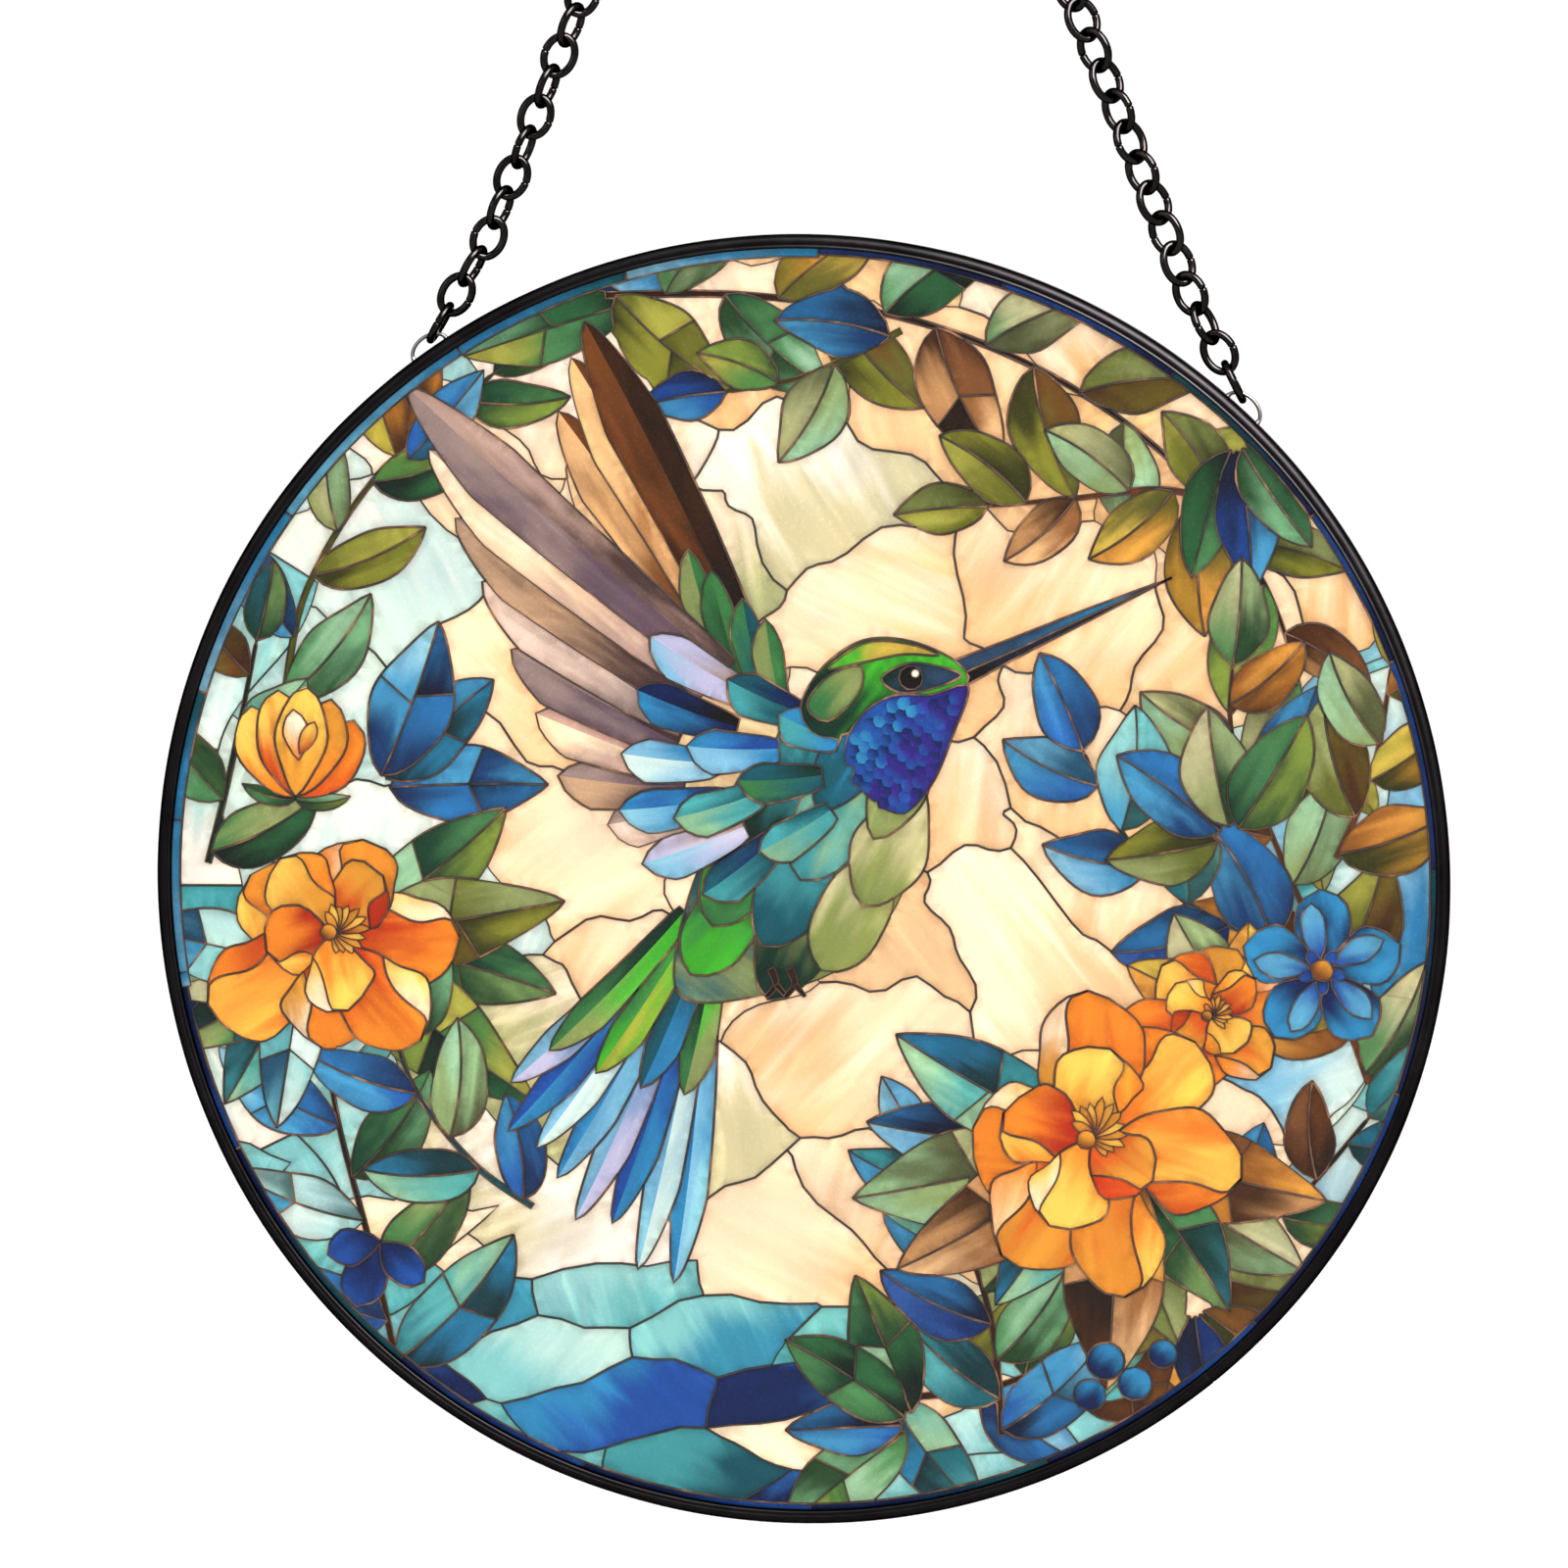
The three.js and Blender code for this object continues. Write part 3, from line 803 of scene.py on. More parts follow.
# lower right thicket
spray([(10, -60), (24, -58), (40, -50), (54, -40), (66, -26)], 13, 17, 8.4,
      ["teal", "olive", "blue", "green", "rust", "teal", "gold"], seed=9.0, stem=DBROWN)
spray([(24, -64), (23, -52), (20, -42), (15, -32)], 8, 15, 7.4,
      ["blue", "teal", "green", "royal", "sage", "teal"], seed=10.0, lean=46, stem=DBROWN)
cluster((46, -48), 200, 330, 6, 15, 7.0, ["olive", "teal", "rust", "royal", "green"],
        seed=27)
cluster((35, -30), 150, 235, 5, 23.5, 9.8, ["teal", "blue", "sage", "rust"], seed=28)
cluster((37, -30), 268, 345, 5, 23.5, 10.2, ["rust", "olive", "dark", "sage"], seed=29)
cluster((52, -16), 30, 150, 5, 13, 7.4, ["gold", "rust", "gold", "sage"], seed=30)
cluster((14, -63), 110, 215, 4, 16, 7.4, ["green", "dark", "royal", "green"], seed=31)

# berries
for x, y, r in [(36, -55, 2.2), (39.4, -57.6, 2.0), (34.2, -59, 1.9), (42.6, -54.0, 1.7)]:
    disc_piece((x, y), r, NAVY, AZURE)

# ---- flowers ---------------------------------------------------------------------
bud((-58.0, 15.5), 7.0, 84, seed=1)
blossom((-54.0, -7.0), 14.6, 14, squash=0.92, seed=2, deep=0.5)
blossom((48.0, -15.0), 9.5, 20, squash=0.9, seed=4)
blossom((35.0, -29.5), 16.4, 46, squash=0.94, seed=3, deep=0.3)
blue_flower((60.5, -9.0), 8.6, 20)
for turn, size in ((250, 8.4), (318, 7.0), (196, 6.6)):
    petal((-49.0, -42.5), turn, size, size * 0.66, NAVY, ROYAL, bend=14)

# ---- the hummingbird ----------------------------------------------------------------
ROSE = rgb("c9a396")
PLUM = rgb("5d4a5c")
SMOKE = [(PLUM, MAUVE, (DMAUVE, mixc(MAUVE, ROSE, 0.5))),
         (MAUVE, mixc(ROSE, PALE, 0.45), (DMAUVE, MAUVE)),
         (DMAUVE, mixc(MAUVE, TAN, 0.5), (PLUM, MAUVE)),
         (mixc(MAUVE, ROSE, 0.4), mixc(PEACH, PALE, 0.3), (PLUM, ROSE))]
EARTH = [(LILAC, SKY, (PLUM, LILAC)), (MAUVE, LILAC, (PLUM, MAUVE)),
         (TAN, PEACH, (BROWN, TAN)), (BROWN, TAN, (DBROWN, BROWN)),
         (mixc(BROWN, TAN, 0.3), TAN, (DBROWN, BROWN)), (DBROWN, BROWN, (BLACK, DBROWN))]
TAILS = [(AZURE, SKY, (ROYAL, AZURE)), (SKY, ICE, (AZURE, SKY)),
         (ROYAL, AZURE, (NAVY, ROYAL)), (AZURE, LILAC, (ROYAL, SKY))]

# far wing: earth-brown flight feathers over a lilac edge
wing([(-14, 24), (-9, 26), (-4, 24)], [(-21, 40), (-27.5, 53), (-24.5, 65)], 6, 7.6, EARTH,
     bend=6)
wing([(-7, 22), (-1, 18)], [(-12.5, 39), (-3.5, 31)], 4, 5.2,
     [(GREEN, MOSS, (DGREEN, GREEN)), (DGREEN, GREEN, (OLIVE, GREEN)),
      (DTEAL, GREEN, (DGREEN, DTEAL))], bend=-10)

# tail
fan((-10.5, -9), 264, 224, 8, lambda t: 38 - 10 * t + 1.6 * math.sin(17 * t),
    5.5, TAILS, spread=(-4, 4), bend=-7)
fan((-9.5, -7), 258, 226, 4, lambda t: 18 + 5 * t, 5.4,
    [(BRIGHT, MOSS, (DGREEN, GREEN)), (DTEAL, AZURE, (DGREEN, DTEAL)),
     (BRIGHT, LOLIVE, (GREEN, BRIGHT))], spread=(-3.5, 4), bend=-6)

# body: plumes laid from the rump up to the neck, each over the one below
BODY = spline([(-13.5, -13.0), (-13.0, -3.0), (-8.5, 8.0), (-2.0, 17.5), (4.0, 21.5),
               (10.5, 18.0), (13.5, 9.5), (12.5, 0.0), (6.5, -8.5), (-3.0, -12.5)],
              closed=True)
piece(BODY, DTEAL, MOSS, (-10, 8), (8, -6))


OLIVINE, PEARL = rgb("7d8c4e"), rgb("d9d3a8")
ROWS = [   # centre line of each row of plumes, from back to belly, rump first
    ((-10.5, -3.5), (1.0, -5.5), [(BRIGHT, GREEN), (DGREEN, MOSS)]),
    ((-9.0, 3.5), (8.0, -3.0), [(GREEN, BRIGHT), (DTEAL, TEAL), (OLIVINE, PEARL)]),
    ((-5.0, 11.5), (12.0, 5.0), [(DGREEN, TEAL), (TEAL, MINT), (OLIVINE, PEARL)]),
    ((0.0, 18.5), (12.5, 13.0), [(DTEAL, TEAL), (DTEAL, AZURE), (MOSS, SAGE)])]
for row, (a, b, tones) in enumerate(ROWS):
    n = len(tones)
    for k in range(n):
        t = (k + 0.5) / n
        p = (a[0] + (b[0] - a[0]) * t, a[1] + (b[1] - a[1]) * t)
        wide = math.dist(a, b) / n * 1.42
        p = polar(p, 8.5, 62 - 10 * t)
        petal(p, 238 + 8 * t + 6 * (hashf(row, k) - 0.5), 16.5, wide, tones[k][1],
              tones[k][0], bend=10 - 20 * t)

# feet
for dx in (0.0, 2.2):
    ribbon(spline([(-3.0 + dx, -9.6), (-2.4 + dx, -11.4), (-3.6 + dx, -13.0)], step=0.5),
           0.9, DBROWN, BLACK)
    ribbon(spline([(-2.4 + dx, -11.4), (-1.2 + dx, -12.8)], step=0.5), 0.7, DBROWN, BLACK)

# near wing: flight feathers, then two rows of coverts over their roots
wing([(-12, 9), (-14, 15), (-11, 22), (-8, 25)],
     [(-22, 7), (-28, 13), (-31, 22), (-36, 34), (-41, 46), (-45, 57.5)], 8, 8.0,
     SMOKE, first=1, bend=-4)
wing([(-6, 7), (-9, 13), (-7, 18), (-5, 22)],
     [(-18, 2.5), (-21, 10), (-19.5, 19), (-17, 29)], 5, 7.4,
     [(LILAC, SKY, (MAUVE, LILAC)), (AZURE, SKY, (ROYAL, AZURE)),
      (SKY, ICE, (AZURE, SKY)), (NAVY, AZURE, (BLACK, NAVY))], bend=-8)
wing([(-2, 6), (-4, 11), (-2, 16), (1, 20)],
     [(-11, -1), (-14.5, 9), (-12.5, 17), (-8, 24)], 4, 7.6,
     [(AZURE, SKY, (ROYAL, AZURE)), (DTEAL, TEAL, (NAVY, DTEAL)),
      (TEAL, MINT, (DTEAL, TEAL))], first=1, bend=-10)
wing([(4, 9), (3, 13), (5, 17)], [(-4.5, 4), (-7, 12), (-2, 20)], 3, 7.0,
     [(TEAL, MINT, (DTEAL, TEAL)), (DTEAL, GREEN, (DGREEN, DTEAL)),
      (AZURE, TEAL, (DTEAL, AZURE))], bend=-10)

# beak, head, throat and eye
BEAK = rgb("2b4566")
tip = (43.0, 36.0)
piece(spline([(17.8, 26.2), (25, 29.0), (33, 32.2), tip], step=1.5)
      + spline([tip, (33, 31.3), (25, 27.5), (19.2, 24.5)], step=1.5)[1:],
      BEAK, AZURE, (19, 24), tip)
piece(spline([(19.0, 24.8), (25, 27.5), (33, 31.3), tip], step=1.5)
      + spline([tip, (33, 30.7), (25, 26.5), (19.8, 23.6)], step=1.5)[1:],
      BLACK, BEAK, (19, 23), tip)
piece(spline([(0.5, 21.0), (3.2, 25.6), (7.8, 28.6), (13.2, 28.5), (18.4, 26.2),
              (19.6, 23.6), (14.0, 21.5), (8.0, 18.5), (2.6, 17.5)], closed=True),
      DGREEN, BRIGHT, (3, 18), (11, 29))
piece(spline([(3.6, 25.3), (8.0, 28.3), (13.0, 28.2), (16.4, 26.9), (12.4, 27.0),
              (7.6, 26.0)], closed=True),
      BRIGHT, mixc(LOLIVE, YELLOW, 0.6), (4, 24), (12, 30))
piece(spline([(1.2, 21.0), (3.6, 24.4), (7.4, 25.6), (7.2, 22.4), (3.6, 19.2)],
             closed=True), GREEN, MOSS, (2, 20), (7, 26))
piece(spline([(9.8, 24.2), (12.6, 25.9), (16.0, 25.7), (19.0, 24.6), (15.4, 23.0),
              (11.8, 22.6)], closed=True), DGREEN, BEAK, (10, 24), (19, 24))
THROAT = spline([(19.8, 23.4), (15.6, 22.4), (11.0, 22.2), (7.4, 19.8), (5.6, 15.6),
                 (8.0, 10.8), (12.2, 8.6), (15.6, 12.0), (18.0, 17.6)], closed=True)
piece(THROAT, ROYAL, VIOLET, (6, 19), (17, 14), soft="throat")


def throat_tone(p, h):
    t = (p[0] - 6) / 10 - (p[1] - 16) / 16
    if t < 0.05:
        return (DTEAL, TEAL) if h < 0.6 else (ROYAL, AZURE)
    if t < 0.5:
        return (NAVY, ROYAL) if h < 0.5 else (ROYAL, AZURE)
    return (NAVY, VIOLET) if h < 0.5 else (VIOLET, ROYAL)


scales(THROAT, 1.55, throat_tone, 228, seed=1.0, group="throat")
disc_piece((13.2, 24.3), 1.4, BLACK, BLACK)
disc_piece((13.7, 24.8), 0.52, PALE, PALE)

# the coloured edge that runs all round inside the rim
rim_band(88, 190, 17, 1.5, [(AZURE, SKY), (DTEAL, AZURE), (AZURE, mixc(SKY, AZURE, 0.4))], 3.0,
         wavy=0.0)
rim_band(190, 448, 21, 1.15, [(NAVY, ROYAL), (NAVY, DTEAL), (NAVY, ROYAL)], 5.0, wavy=0.0)

# ---------------------------------------------------------------------------
# Planar map: every piece that shows, cut where pieces overlap
# ---------------------------------------------------------------------------
def planar_map():
    verts, edges, faces = [], [], []

    def loop(points):
        start = len(verts)
        verts.extend(Vector(p) for p in points)
        ring = list(range(start, len(verts)))
        edges.extend((ring[i], ring[(i + 1) % len(ring)]) for i in range(len(ring)))
        faces.append(ring)

    round_n = 384
    loop([polar((0, 0), PIC_R, 360 * i / round_n) for i in range(round_n)])
    for s in SHAPES:
        pts = []
        for p in s[0]:
            if not pts or math.dist(p, pts[-1]) > 0.02:
                pts.append(p)
        if math.dist(pts[0], pts[-1]) < 0.02:
            pts.pop()
        turn = sum(a[0] * b[1] - b[0] * a[1] for a, b in zip(pts, pts[1:] + pts[:1]))
        loop(pts if turn > 0 else pts[::-1])
    step = 1.7
    j = 0
    y = -PIC_R
    while y < PIC_R:
        x = -PIC_R + (step / 2 if j % 2 else 0)
        while x < PIC_R:
            if x * x + y * y < (PIC_R - 0.8) ** 2:
                verts.append(Vector((x + 0.3 * (hashf(x, y) - 0.5),
                                     y + 0.3 * (hashf(y, x) - 0.5))))
            x += step
        y += step * 0.866
        j += 1
    out = delaunay_2d_cdt(verts, edges, faces, 0, 1e-3, True)
    vs, tris, origin = out[0], out[2], out[5]
    keep, owner = [], []
    spans = [None] + [(min(p[0] for p in s[0]), max(p[0] for p in s[0]),
                       min(p[1] for p in s[0]), max(p[1] for p in s[0])) for s in SHAPES]
    for t, o in zip(tris, origin):
        if len(t) != 3 or 0 not in o:
            continue
        cx = sum(vs[i].x for i in t) / 3
        cy = sum(vs[i].y for i in t) / 3
        inside = [k for k in o if k == 0 or (spans[k][0] <= cx <= spans[k][1]
                                             and spans[k][2] <= cy <= spans[k][3])]
        keep.append(tuple(t))
        owner.append(max(inside))
    return [(v.x, v.y) for v in vs], keep, owner


def tidy(vs, tris, owner):
    """Give specks too small to cut to their largest neighbour."""
    near = {}
    for i, t in enumerate(tris):
        for a, b in ((t[0], t[1]), (t[1], t[2]), (t[2], t[0])):
            near.setdefault((min(a, b), max(a, b)), []).append(i)
    area = [abs((vs[b][0] - vs[a][0]) * (vs[c][1] - vs[a][1])
                - (vs[c][0] - vs[a][0]) * (vs[b][1] - vs[a][1])) / 2 for a, b, c in tris]
    for _ in range(3):
        comp = [-1] * len(tris)
        sizes = []
        for i in range(len(tris)):
            if comp[i] >= 0:
                continue
            stack, k, total = [i], len(sizes), 0.0
            comp[i] = k
            while stack:
                j = stack.pop()
                total += area[j]
                t = tris[j]
                for a, b in ((t[0], t[1]), (t[1], t[2]), (t[2], t[0])):
                    for q in near[(min(a, b), max(a, b))]:
                        if comp[q] < 0 and owner[q] == owner[j]:
                            comp[q] = k
                            stack.append(q)
            sizes.append(total)
        touch = {}
        for (a, b), pair in near.items():
            if len(pair) == 2 and comp[pair[0]] != comp[pair[1]]:
                l = math.dist(vs[a], vs[b])
                for p, q in (pair, pair[::-1]):
                    if sizes[comp[p]] < 0.5:
                        d = touch.setdefault(comp[p], {})
                        d[q] = d.get(q, 0) + l * (2 if sizes[comp[q]] > 0.5 else 0.5)
        if not touch:
            break
        best = {c: owner[max(d, key=d.get)] for c, d in touch.items()}
        for i in range(len(tris)):
            if comp[i] in best:
                owner[i] = best[comp[i]]
    return near, owner, comp, sizes


vs, tris, owner = planar_map()
near, owner, comp, sizes = tidy(vs, tris, owner)
print("picture:", len(vs), "points", len(tris), "triangles", len(sizes), "pieces")

TURN = math.radians(1.1)         # the picture stands square to the hang line


def on_disc(x, y):
    return (x * math.cos(TURN) - y * math.sin(TURN),
            x * math.sin(TURN) + y * math.cos(TURN))


def outlined(pair):
    """Whether an outline runs along an edge, from the triangles beside it."""
    if len(pair) != 2 or owner[pair[0]] == owner[pair[1]]:
        return False
    a, b = (SHAPES[owner[i] - 1][6] if owner[i] else None for i in pair)
    return a is None or a != b


# points on an outline
on_line = set()
for (a, b), pair in near.items():
    if outlined(pair):
        on_line.update((a, b))

FRONT_Y, BACK_Y = -1.5, 1.5


def picture_mesh():
    used = sorted({v for t in tris for v in t})
    index = {v: i for i, v in enumerate(used)}
    n = len(used)
    verts = []
    for v in used:
        x, z = on_disc(*vs[v])
        verts.append((x, FRONT_Y, z + DISC_Z))
    for v in used:
        x, z = on_disc(*vs[v])
        verts.append((x, BACK_Y, z + DISC_Z))
    faces, src = [], []
    for i, (a, b, c) in enumerate(tris):
        a, b, c = index[a], index[b], index[c]
        faces.append((a, b, c))
        faces.append((a + n, c + n, b + n))
        src += [i, i]
    rim = [(e, p[0]) for e, p in near.items() if len(p) == 1]
    for (a, b), i in rim:
        t = tris[i]
        k = t.index(a)
        if t[(k + 1) % 3] != b:
            a, b = b, a
        a, b = index[a], index[b]
        faces.append((b, a, a + n, b + n))
        src.append(i)
    ob = add_object("picture_glass", verts, faces, [FACE_MAT, BACK_MAT], smooth=False)
    me = ob.data
    pc, qc, tc, gc, ec = [], [], [], [], []
    for poly, i in zip(me.polygons, src):
        s = SHAPES[owner[i] - 1]
        _, c0, c1, p0, p1, streak, _ = s
        dx, dy = p1[0] - p0[0], p1[1] - p0[1]
        q = dx * dx + dy * dy or 1.0
        ca, sa = math.cos(math.radians(streak)), math.sin(math.radians(streak))
        lift = 0.10 * (hashf(owner[i], 2.0) - 0.5)
        poly.material_index = 1 if poly.normal.y > 0.5 else 0
        for li in poly.loop_indices:
            v = used[me.loops[li].vertex_index % n]
            x, y = vs[v]
            tc.append(min(max(((x - p0[0]) * dx + (y - p0[1]) * dy) / q, -0.3), 1.3))
            for out, tint in ((pc, c0), (qc, c1)):
                out += [min(1.0, max(0.0, c * (1 + 1.4 * lift))) for c in linear(tint)] \
                    + [1.0]
            gc += [x * ca + y * sa, -x * sa + y * ca, owner[i] * 3.37 % 97.0]
            ec.append(1.0 if v in on_line else 0.0)
    for key, kind, field, values in (("paint", "FLOAT_COLOR", "color", pc),
                                     ("paint_end", "FLOAT_COLOR", "color", qc),
                                     ("tone", "FLOAT", "value", tc),
                                     ("grain", "FLOAT_VECTOR", "vector", gc),
                                     ("edge", "FLOAT", "value", ec)):
        me.attributes.new(key, kind, "CORNER")
        me.attributes[key].data.foreach_set(field, values)
    return ob


picture = picture_mesh()
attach(picture, "root")
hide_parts("glass_disc")

# ---------------------------------------------------------------------------
# Raised outlines along every seam between pieces
# ---------------------------------------------------------------------------
GROUND_LAST = GROUND_COUNT


def seam_paths():
    graph = {}
    info = {}
    for (a, b), pair in near.items():
        if outlined(pair):
            graph.setdefault(a, []).append(b)
            graph.setdefault(b, []).append(a)
            small = min(sizes[comp[pair[0]]], sizes[comp[pair[1]]])
            figure = max(owner[pair[0]], owner[pair[1]]) > GROUND_LAST
            info[(a, b)] = info[(b, a)] = (small, figure)
    seen, paths = set(), []
    nodes = [v for v in graph if len(graph[v]) != 2]
    for start in nodes + list(graph):
        for nxt in graph[start]:
            if (start, nxt) in seen:
                continue
            path = [start]
            a, b = start, nxt
            while True:
                seen.add((a, b))
                seen.add((b, a))
                path.append(b)
                if len(graph[b]) != 2 or b == path[0]:
                    break
                c = [q for q in graph[b] if q != a]
                if not c or (b, c[0]) in seen:
                    break
                a, b = b, c[0]
            paths.append(path)
    return paths, info


def outline_mesh(name, face_y, outward, height, scale):
    verts, faces, tone = [], [], []
    for path in SEAMS:
        closed = path[0] == path[-1] and len(path) > 3
        pts = [vs[v] for v in path]
        flags = [SEAM_INFO[(path[i], path[i + 1])] for i in range(len(path) - 1)]
        small = min(f[0] for f in flags)
        copper = 1.0 if flags[0][1] else 0.0
        thin = [pts[0]]
        for p in pts[1:-1]:
            if math.dist(p, thin[-1]) > 0.28:
                thin.append(p)
        if len(thin) > 1 and math.dist(thin[-1], pts[-1]) < 0.2:
            thin.pop()
        thin.append(pts[-1])
        if len(thin) < 2:
            continue
        width = (0.32 if small > 14 else 0.25 if small > 4 else 0.17) * scale
        n = len(thin)
        base = len(verts)
        for i, p in enumerate(thin):
            a = thin[i - 1] if i else (thin[-2] if closed else p)
            b = thin[i + 1] if i < n - 1 else (thin[1] if closed else p)
            h = math.atan2(b[1] - a[1], b[0] - a[0])
            w = width / 2
            for off, lift in ((-w, -0.03), (-w * 0.55, height), (w * 0.55, height),
                              (w, -0.03)):
                x, z = on_disc(p[0] - math.sin(h) * off, p[1] + math.cos(h) * off)
                verts.append((x, face_y + outward * lift, z + DISC_Z))
                tone.append(copper)
        for i in range(n - 1):
            for k in range(4):
                a, b = base + 4 * i + k, base + 4 * i + (k + 1) % 4
                q = (a, b, b + 4, a + 4)
                faces.append(q if outward > 0 else q[::-1])
        ends = ((base, base + 3, base + 2, base + 1),
                (base + 4 * n - 4, base + 4 * n - 3, base + 4 * n - 2, base + 4 * n - 1))
        for q in ends:
            faces.append(q if outward > 0 else q[::-1])
    ob = add_object(name, verts, faces, [LINE_MAT], smooth=False)
    at = ob.data.attributes.new("copper", "FLOAT", "POINT")
    at.data.foreach_set("value", tone)
    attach(ob, "root")
    print(name, len(ob.data.polygons), "faces")
    return ob


SEAMS, SEAM_INFO = seam_paths()
outline_mesh("raised_outlines", FRONT_Y, -1.0, 0.13, 1.0)
outline_mesh("outlines_seen_behind", BACK_Y, 1.0, 0.02, 0.9)

# ---------------------------------------------------------------------------
# Rim: rolled channel, rounded shoulders, a hairline butt joint at lower right
# ---------------------------------------------------------------------------
def arc(cx, cy, r, a0, a1, n):
    return [(cx + r * math.cos(math.radians(a0 + (a1 - a0) * i / n)),
             cy + r * math.sin(math.radians(a0 + (a1 - a0) * i / n))) for i in range(n + 1)]


def rim_profile():
    """Closed section, (radius, y, lighter plating), counterclockwise with y to the back. The third
    value is a little rub on the inner bead and lip corners, and a painted highlight band along the
    middle of the crown.
    """
    half = [(r, y, 1.0) for r, y in arc(73.53, 2.52, 0.21, 180, 60, 5)]
    half += [(73.78, 2.60, 0.0)]
    # painted highlight band along the middle of the crown
    half += [(r, y, 0.55 * math.exp(-((100 - 94 * i / 14 - 74) / 17) ** 2))
             for i, (r, y) in enumerate(arc(74.08, 1.83, 0.90, 100, 6, 14))]
    half += [(74.98, 1.2, 0.0), (74.98, 0.4, 0.0)]
    back_half = half[::-1]
    front = [(r, -y, w) for r, y, w in half]
    prof = front + back_half
    prof += [(73.32, 2.2, 0.0), (73.32, 1.64, 0.4), (74.1, 1.64, 0.0), (74.1, -1.64, 0.0),
             (73.32, -1.64, 0.4), (73.32, -2.2, 0.0)]
    return prof


def rim_mesh():
    prof = rim_profile()
    m = len(prof)
    steps = 360
    verts, wear_and_highlight = [], []
    angles = [2 * math.pi * i / steps for i in range(steps)]
    for k in (-0.16, -0.05, 0.05, 0.16):
        angles.append((math.radians(-48.5) % (2 * math.pi)) + k / 75.0)
    angles.sort()
    seam = math.radians(-48.5) % (2 * math.pi)
    for a in angles:
        d = (a - seam) * 75.0
        pinch = 0.10 * math.exp(-(d / 0.07) ** 2)
        ripple = 0.012 * math.sin(a * 23) + 0.01 * math.sin(a * 41 + 1)
        for r, y, w in prof:
            out = 1.0 if r > 74.15 else 0.0
            rr = r - out * (pinch + 0.012 + ripple * 0.5)
            yy = y - math.copysign(pinch * 0.7 + 0.003 * (1 + math.sin(a * 31)), y) \
                if abs(y) > 2.45 else y
            verts.append((rr * math.cos(a), yy, rr * math.sin(a) + DISC_Z))
            # painted highlight: the lighter plating gathers round 52 degrees at the upper right, on
            # the crown and the inner bead; a little rub stays all round
            upper_right_highlight = math.exp(-((a - math.radians(52)) / 0.55) ** 2)
            wear_and_highlight.append(w * (0.22 + 0.7 * upper_right_highlight if r < 73.7 else 0.16 + 0.84 * upper_right_highlight))
    faces = []
    n = len(angles)
    for i in range(n):
        for k in range(m):
            a, b = i * m + k, i * m + (k + 1) % m
            c, d = ((i + 1) % n) * m + (k + 1) % m, ((i + 1) % n) * m + k
            faces.append((a, d, c, b))
    ob = add_object("rim_channel", verts, faces, [RIM_MAT])
    at = ob.data.attributes.new("wear_and_highlight", "FLOAT", "POINT")
    at.data.foreach_set("value", wear_and_highlight)
    return ob


rim = rim_mesh()
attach(rim, "root")
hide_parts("rim")


# ---------------------------------------------------------------------------
# Wires: fixing loops and chain links
# ---------------------------------------------------------------------------
def tube(points, radii, sides, closed, normals):
    """Round tube; normals give each point's in-plane outward direction."""
    verts, faces = [], []
    n = len(points)
    for i, p in enumerate(points):
        a = points[(i - 1) % n] if closed or i else p
        b = points[(i + 1) % n] if closed or i < n - 1 else p
        t = (b - a).normalized()
        u = normals[i]
        u = (u - t * u.dot(t)).normalized()
        v = t.cross(u)
        for k in range(sides):
            c = 2 * math.pi * k / sides
            verts.append(p + (u * math.cos(c) + v * math.sin(c)) * radii[i])
    for i in range(n if closed else n - 1):
        j = (i + 1) % n
        for k in range(sides):
            l = (k + 1) % sides
            faces.append((i * sides + k, i * sides + l, j * sides + l, j * sides + k))
    if not closed:
        faces.append(tuple(range(sides - 1, -1, -1)))
        faces.append(tuple((n - 1) * sides + k for k in range(sides)))
    return verts, faces


RIM_OUT, LOOP_W, LOOP_H, LOOP_R = 75.0, 2.3, 1.55, 0.225
for tag, deg in (("left", -35.7), ("right", 41.6)):
    a = math.radians(deg)
    out = Vector((math.sin(a), 0, math.cos(a)))
    along_v = Vector((math.cos(a), 0, -math.sin(a)))
    mid = Vector((0, 0, DISC_Z))
    pts, rad, nor = [], [], []
    steps = 36
    for i in range(steps + 1):
        q = math.pi * i / steps
        x = LOOP_W * math.cos(q)
        h = LOOP_H * math.sin(q)
        if h < 0.35:                 # the feet run straight down into the rim
            h = h - (0.35 - h) * 1.5
        pts.append(mid + out * (math.sqrt(RIM_OUT ** 2 - x * x) + h) + along_v * x)
        foot = math.exp(-max(h, 0) / 0.16)
        rad.append(LOOP_R * (1 + 0.75 * foot))
        nor.append((out * math.sin(q) + along_v * math.cos(q)).normalized())
    v, f = tube(pts, rad, 14, False, nor)
    ob = add_object("fixing_loop_" + tag, v, f, [LOOP_MAT])
    ob.data.attributes.new("wear_and_highlight", "FLOAT", "POINT").data.foreach_set(
        "value", [0.4] * len(v))
    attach(ob, "root")
    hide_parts("hanging_loop_" + tag)

LINK_A, LINK_B, LINK_R, FACET_R = 2.3, 1.66, 0.455, 0.455
STEP_DEG, WANDER_DEG, KNEE_AT = 61, 5, 0.9
MIDDLE = Vector((0, 0, -(LINK_B - 0.44)))


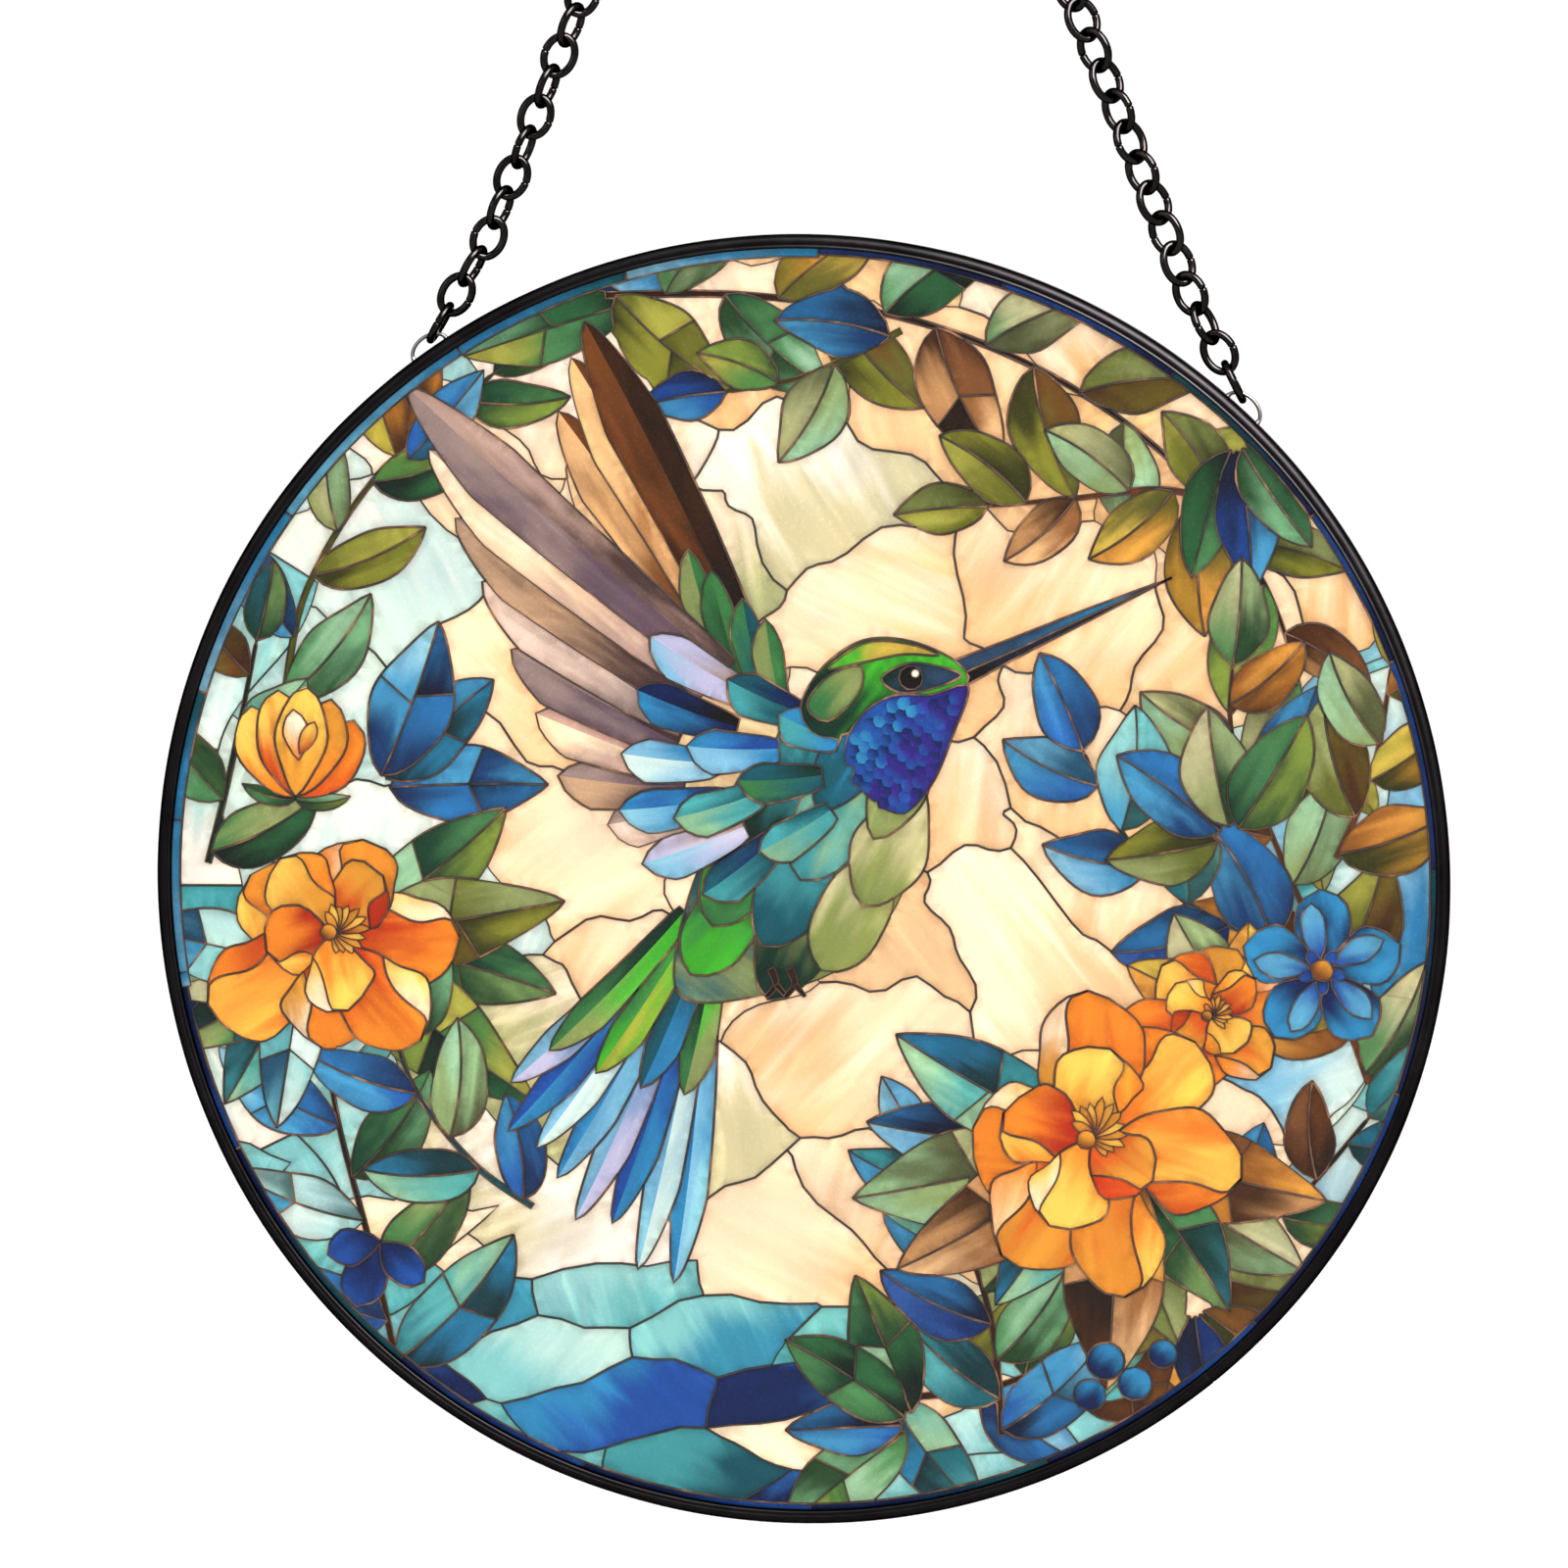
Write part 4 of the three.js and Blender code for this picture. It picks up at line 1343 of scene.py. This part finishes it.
def link(at, axis, wide, seed, joint=0.25, slim=1.0):
    """An oval link of round wire, with the butt joint where it was closed."""
    normal = axis.cross(wide)
    stations = sorted([2 * math.pi * i / 40 for i in range(40)]
                      + [2 * math.pi * joint + d for d in (-0.05, -0.02, 0.0001, 0.02, 0.05)])
    pts, rad, nor = [], [], []
    lean = 0.03 * (hashf(seed, 3.3) - 0.5)
    for u in stations:
        c, s = math.cos(u), math.sin(u)
        wob = 1 + 0.012 * math.sin(2 * u + seed)
        pts.append(at + axis * (LINK_A * c) + wide * (LINK_B * s * wob)
                   + normal * (lean * math.sin(u)))
        nor.append((axis * (LINK_B * c) + wide * (LINK_A * s)).normalized())
        d = u - 2 * math.pi * joint
        rad.append(LINK_R * slim * (0.995 - 0.34 * math.exp(-(d / 0.022) ** 2)))
    return tube(pts, rad, 14, True, nor)


def at_normal(nx, nz):
    k = math.hypot(LINK_A * nx, LINK_B * nz)
    return Vector((LINK_A ** 2 * nx / k, 0, LINK_B ** 2 * nz / k))


def smooth(a, b, t):
    k = min(1.0, max(0.0, (t - a) / (b - a)))
    return k * k * (3 - 2 * k)


def chain_run(name, node_name, deg, count, face_deg, knee):
    a = math.radians(deg)
    out = Vector((math.sin(a), 0, math.cos(a)))
    along_v = Vector((math.cos(a), 0, -math.sin(a)))
    end = out * (RIM_OUT + 0.6) - along_v * math.copysign(0.8, deg) \
        + Vector((0, 0, DISC_Z))
    start = MIDDLE.copy()
    for _ in range(6):
        pull = (end - start).normalized()
        start = MIDDLE + at_normal(pull.x, pull.z)
    first = start + pull * (LINK_A - 2 * FACET_R - 0.15)
    last = end - pull * LINK_A
    depth = Vector((0, 1, 0))
    inward = Vector((-pull.z, 0, pull.x)) * -math.copysign(1.0, deg) \
        * math.copysign(1.0, -pull.z)
    centres = []
    for k in range(count):
        t = k / (count - 1)
        share = t / KNEE_AT if t < KNEE_AT else (1 - t) / (1 - KNEE_AT)
        centres.append(first.lerp(last, t) + inward * (knee * share))
    verts, faces = [], []
    for k in range(count):
        t = k / (count - 1)
        way = (centres[min(k + 1, count - 1)] - centres[max(k - 1, 0)]).normalized()
        flat = way.cross(depth).normalized()
        even = (k + 1) % 2
        loose = face_deg + STEP_DEG * even + WANDER_DEG * math.sin(2.4 * k)
        share = smooth(0, 0.14, t) * (1 - smooth(0.88, 1.0, t))
        turn = math.radians(90 * even * (1 - share) + loose * share)
        w = flat * math.cos(turn) + depth * math.sin(turn)
        v, f = link(centres[k], way, w, k * 1.3 + deg,
                    joint=0.25 if k % 3 else 0.75)
        o = len(verts)
        verts += v
        faces += [tuple(i + o for i in q) for q in f]
    ob = add_object(name, verts, faces, [CHAIN_MAT])
    ob.data.attributes.new("wear_and_highlight", "FLOAT", "POINT").data.foreach_set(
        "value", [0.3] * len(verts))
    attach(ob, "root")
    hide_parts(node_name)


chain_run("chain_links_left", "chain_left", -35.7, 31, 8, 1.5)
chain_run("chain_links_right", "chain_right", 41.6, 33, -30, 0.9)
v, f = link(MIDDLE, Vector((1, 0, 0)), Vector((0, 0, 1)), 2.0, joint=0.5, slim=0.93)
ob = add_object("chain_link_on_hook", v, f, [CHAIN_MAT])
ob.data.attributes.new("wear_and_highlight", "FLOAT", "POINT").data.foreach_set("value", [0.3] * len(v))
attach(ob, "root")
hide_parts("chain_middle_link")

# ---------------------------------------------------------------------------
# Stage: pale floor, soft light
# ---------------------------------------------------------------------------
fm, nt, b = new_material("floor_pale")
b.inputs["Roughness"].default_value = 0.9
n = node(nt, "ShaderNodeTexNoise", Scale=3.0, Detail=2.0)
nt.links.new(ramp(nt, n.outputs["Fac"], [(0.3, (0.955, 0.955, 0.95)), (0.7, (0.965, 0.965, 0.96))]),
             b.inputs["Base Color"])
SWEEP = [(-9000, -330), (1600, -330)] + [
    (1600 + 1400 * math.sin(math.radians(d)), -330 + 1400 * (1 - math.cos(math.radians(d))))
    for d in range(6, 91, 6)] + [(3000, 9000)]
floor = add_object("floor", [(x, y, z) for y, z in SWEEP for x in (-9000, 9000)],
                   [(2 * i, 2 * i + 1, 2 * i + 3, 2 * i + 2) for i in range(len(SWEEP) - 1)],
                   [fm])

world = bpy.data.worlds.new("world")
scene.world = world
world.use_nodes = True
world.node_tree.nodes["Background"].inputs["Color"].default_value = (1.0, 0.995, 0.985, 1)
world.node_tree.nodes["Background"].inputs["Strength"].default_value = 1.0


def area(name, loc, aim_at, size, power, colour=(1, 1, 1)):
    l = bpy.data.lights.new(name, "AREA")
    l.shape = "RECTANGLE"
    l.size, l.size_y = size
    l.energy = power
    l.color = colour
    o = bpy.data.objects.new(name, l)
    o.location = loc
    o.rotation_euler = (Vector(aim_at) - Vector(loc)).to_track_quat("-Z", "Y").to_euler()
    scene.collection.objects.link(o)
    return o


area("key", (0.80, -1.0, 0.62), (0, 0, -0.15), (0.40, 0.40), 5.0, (1.0, 0.98, 0.95))
# a soft box that only the metal's shine picks up
sheen = area("sheen", (0.55, -0.9, 0.75), (0, 0, -0.1), (0.9, 0.9), 150.0)
sheen.visible_diffuse = False
sheen.visible_transmission = False
area("fill", (-0.95, -1.1, 0.30), (0, 0, -0.15), (0.6, 0.6), 5.0)
area("glint", (-0.30, -0.8, 0.85), (0, 0, -0.1), (0.4, 0.12), 2.5)

scene.view_settings.view_transform = "Standard"
scene.view_settings.look = "None"
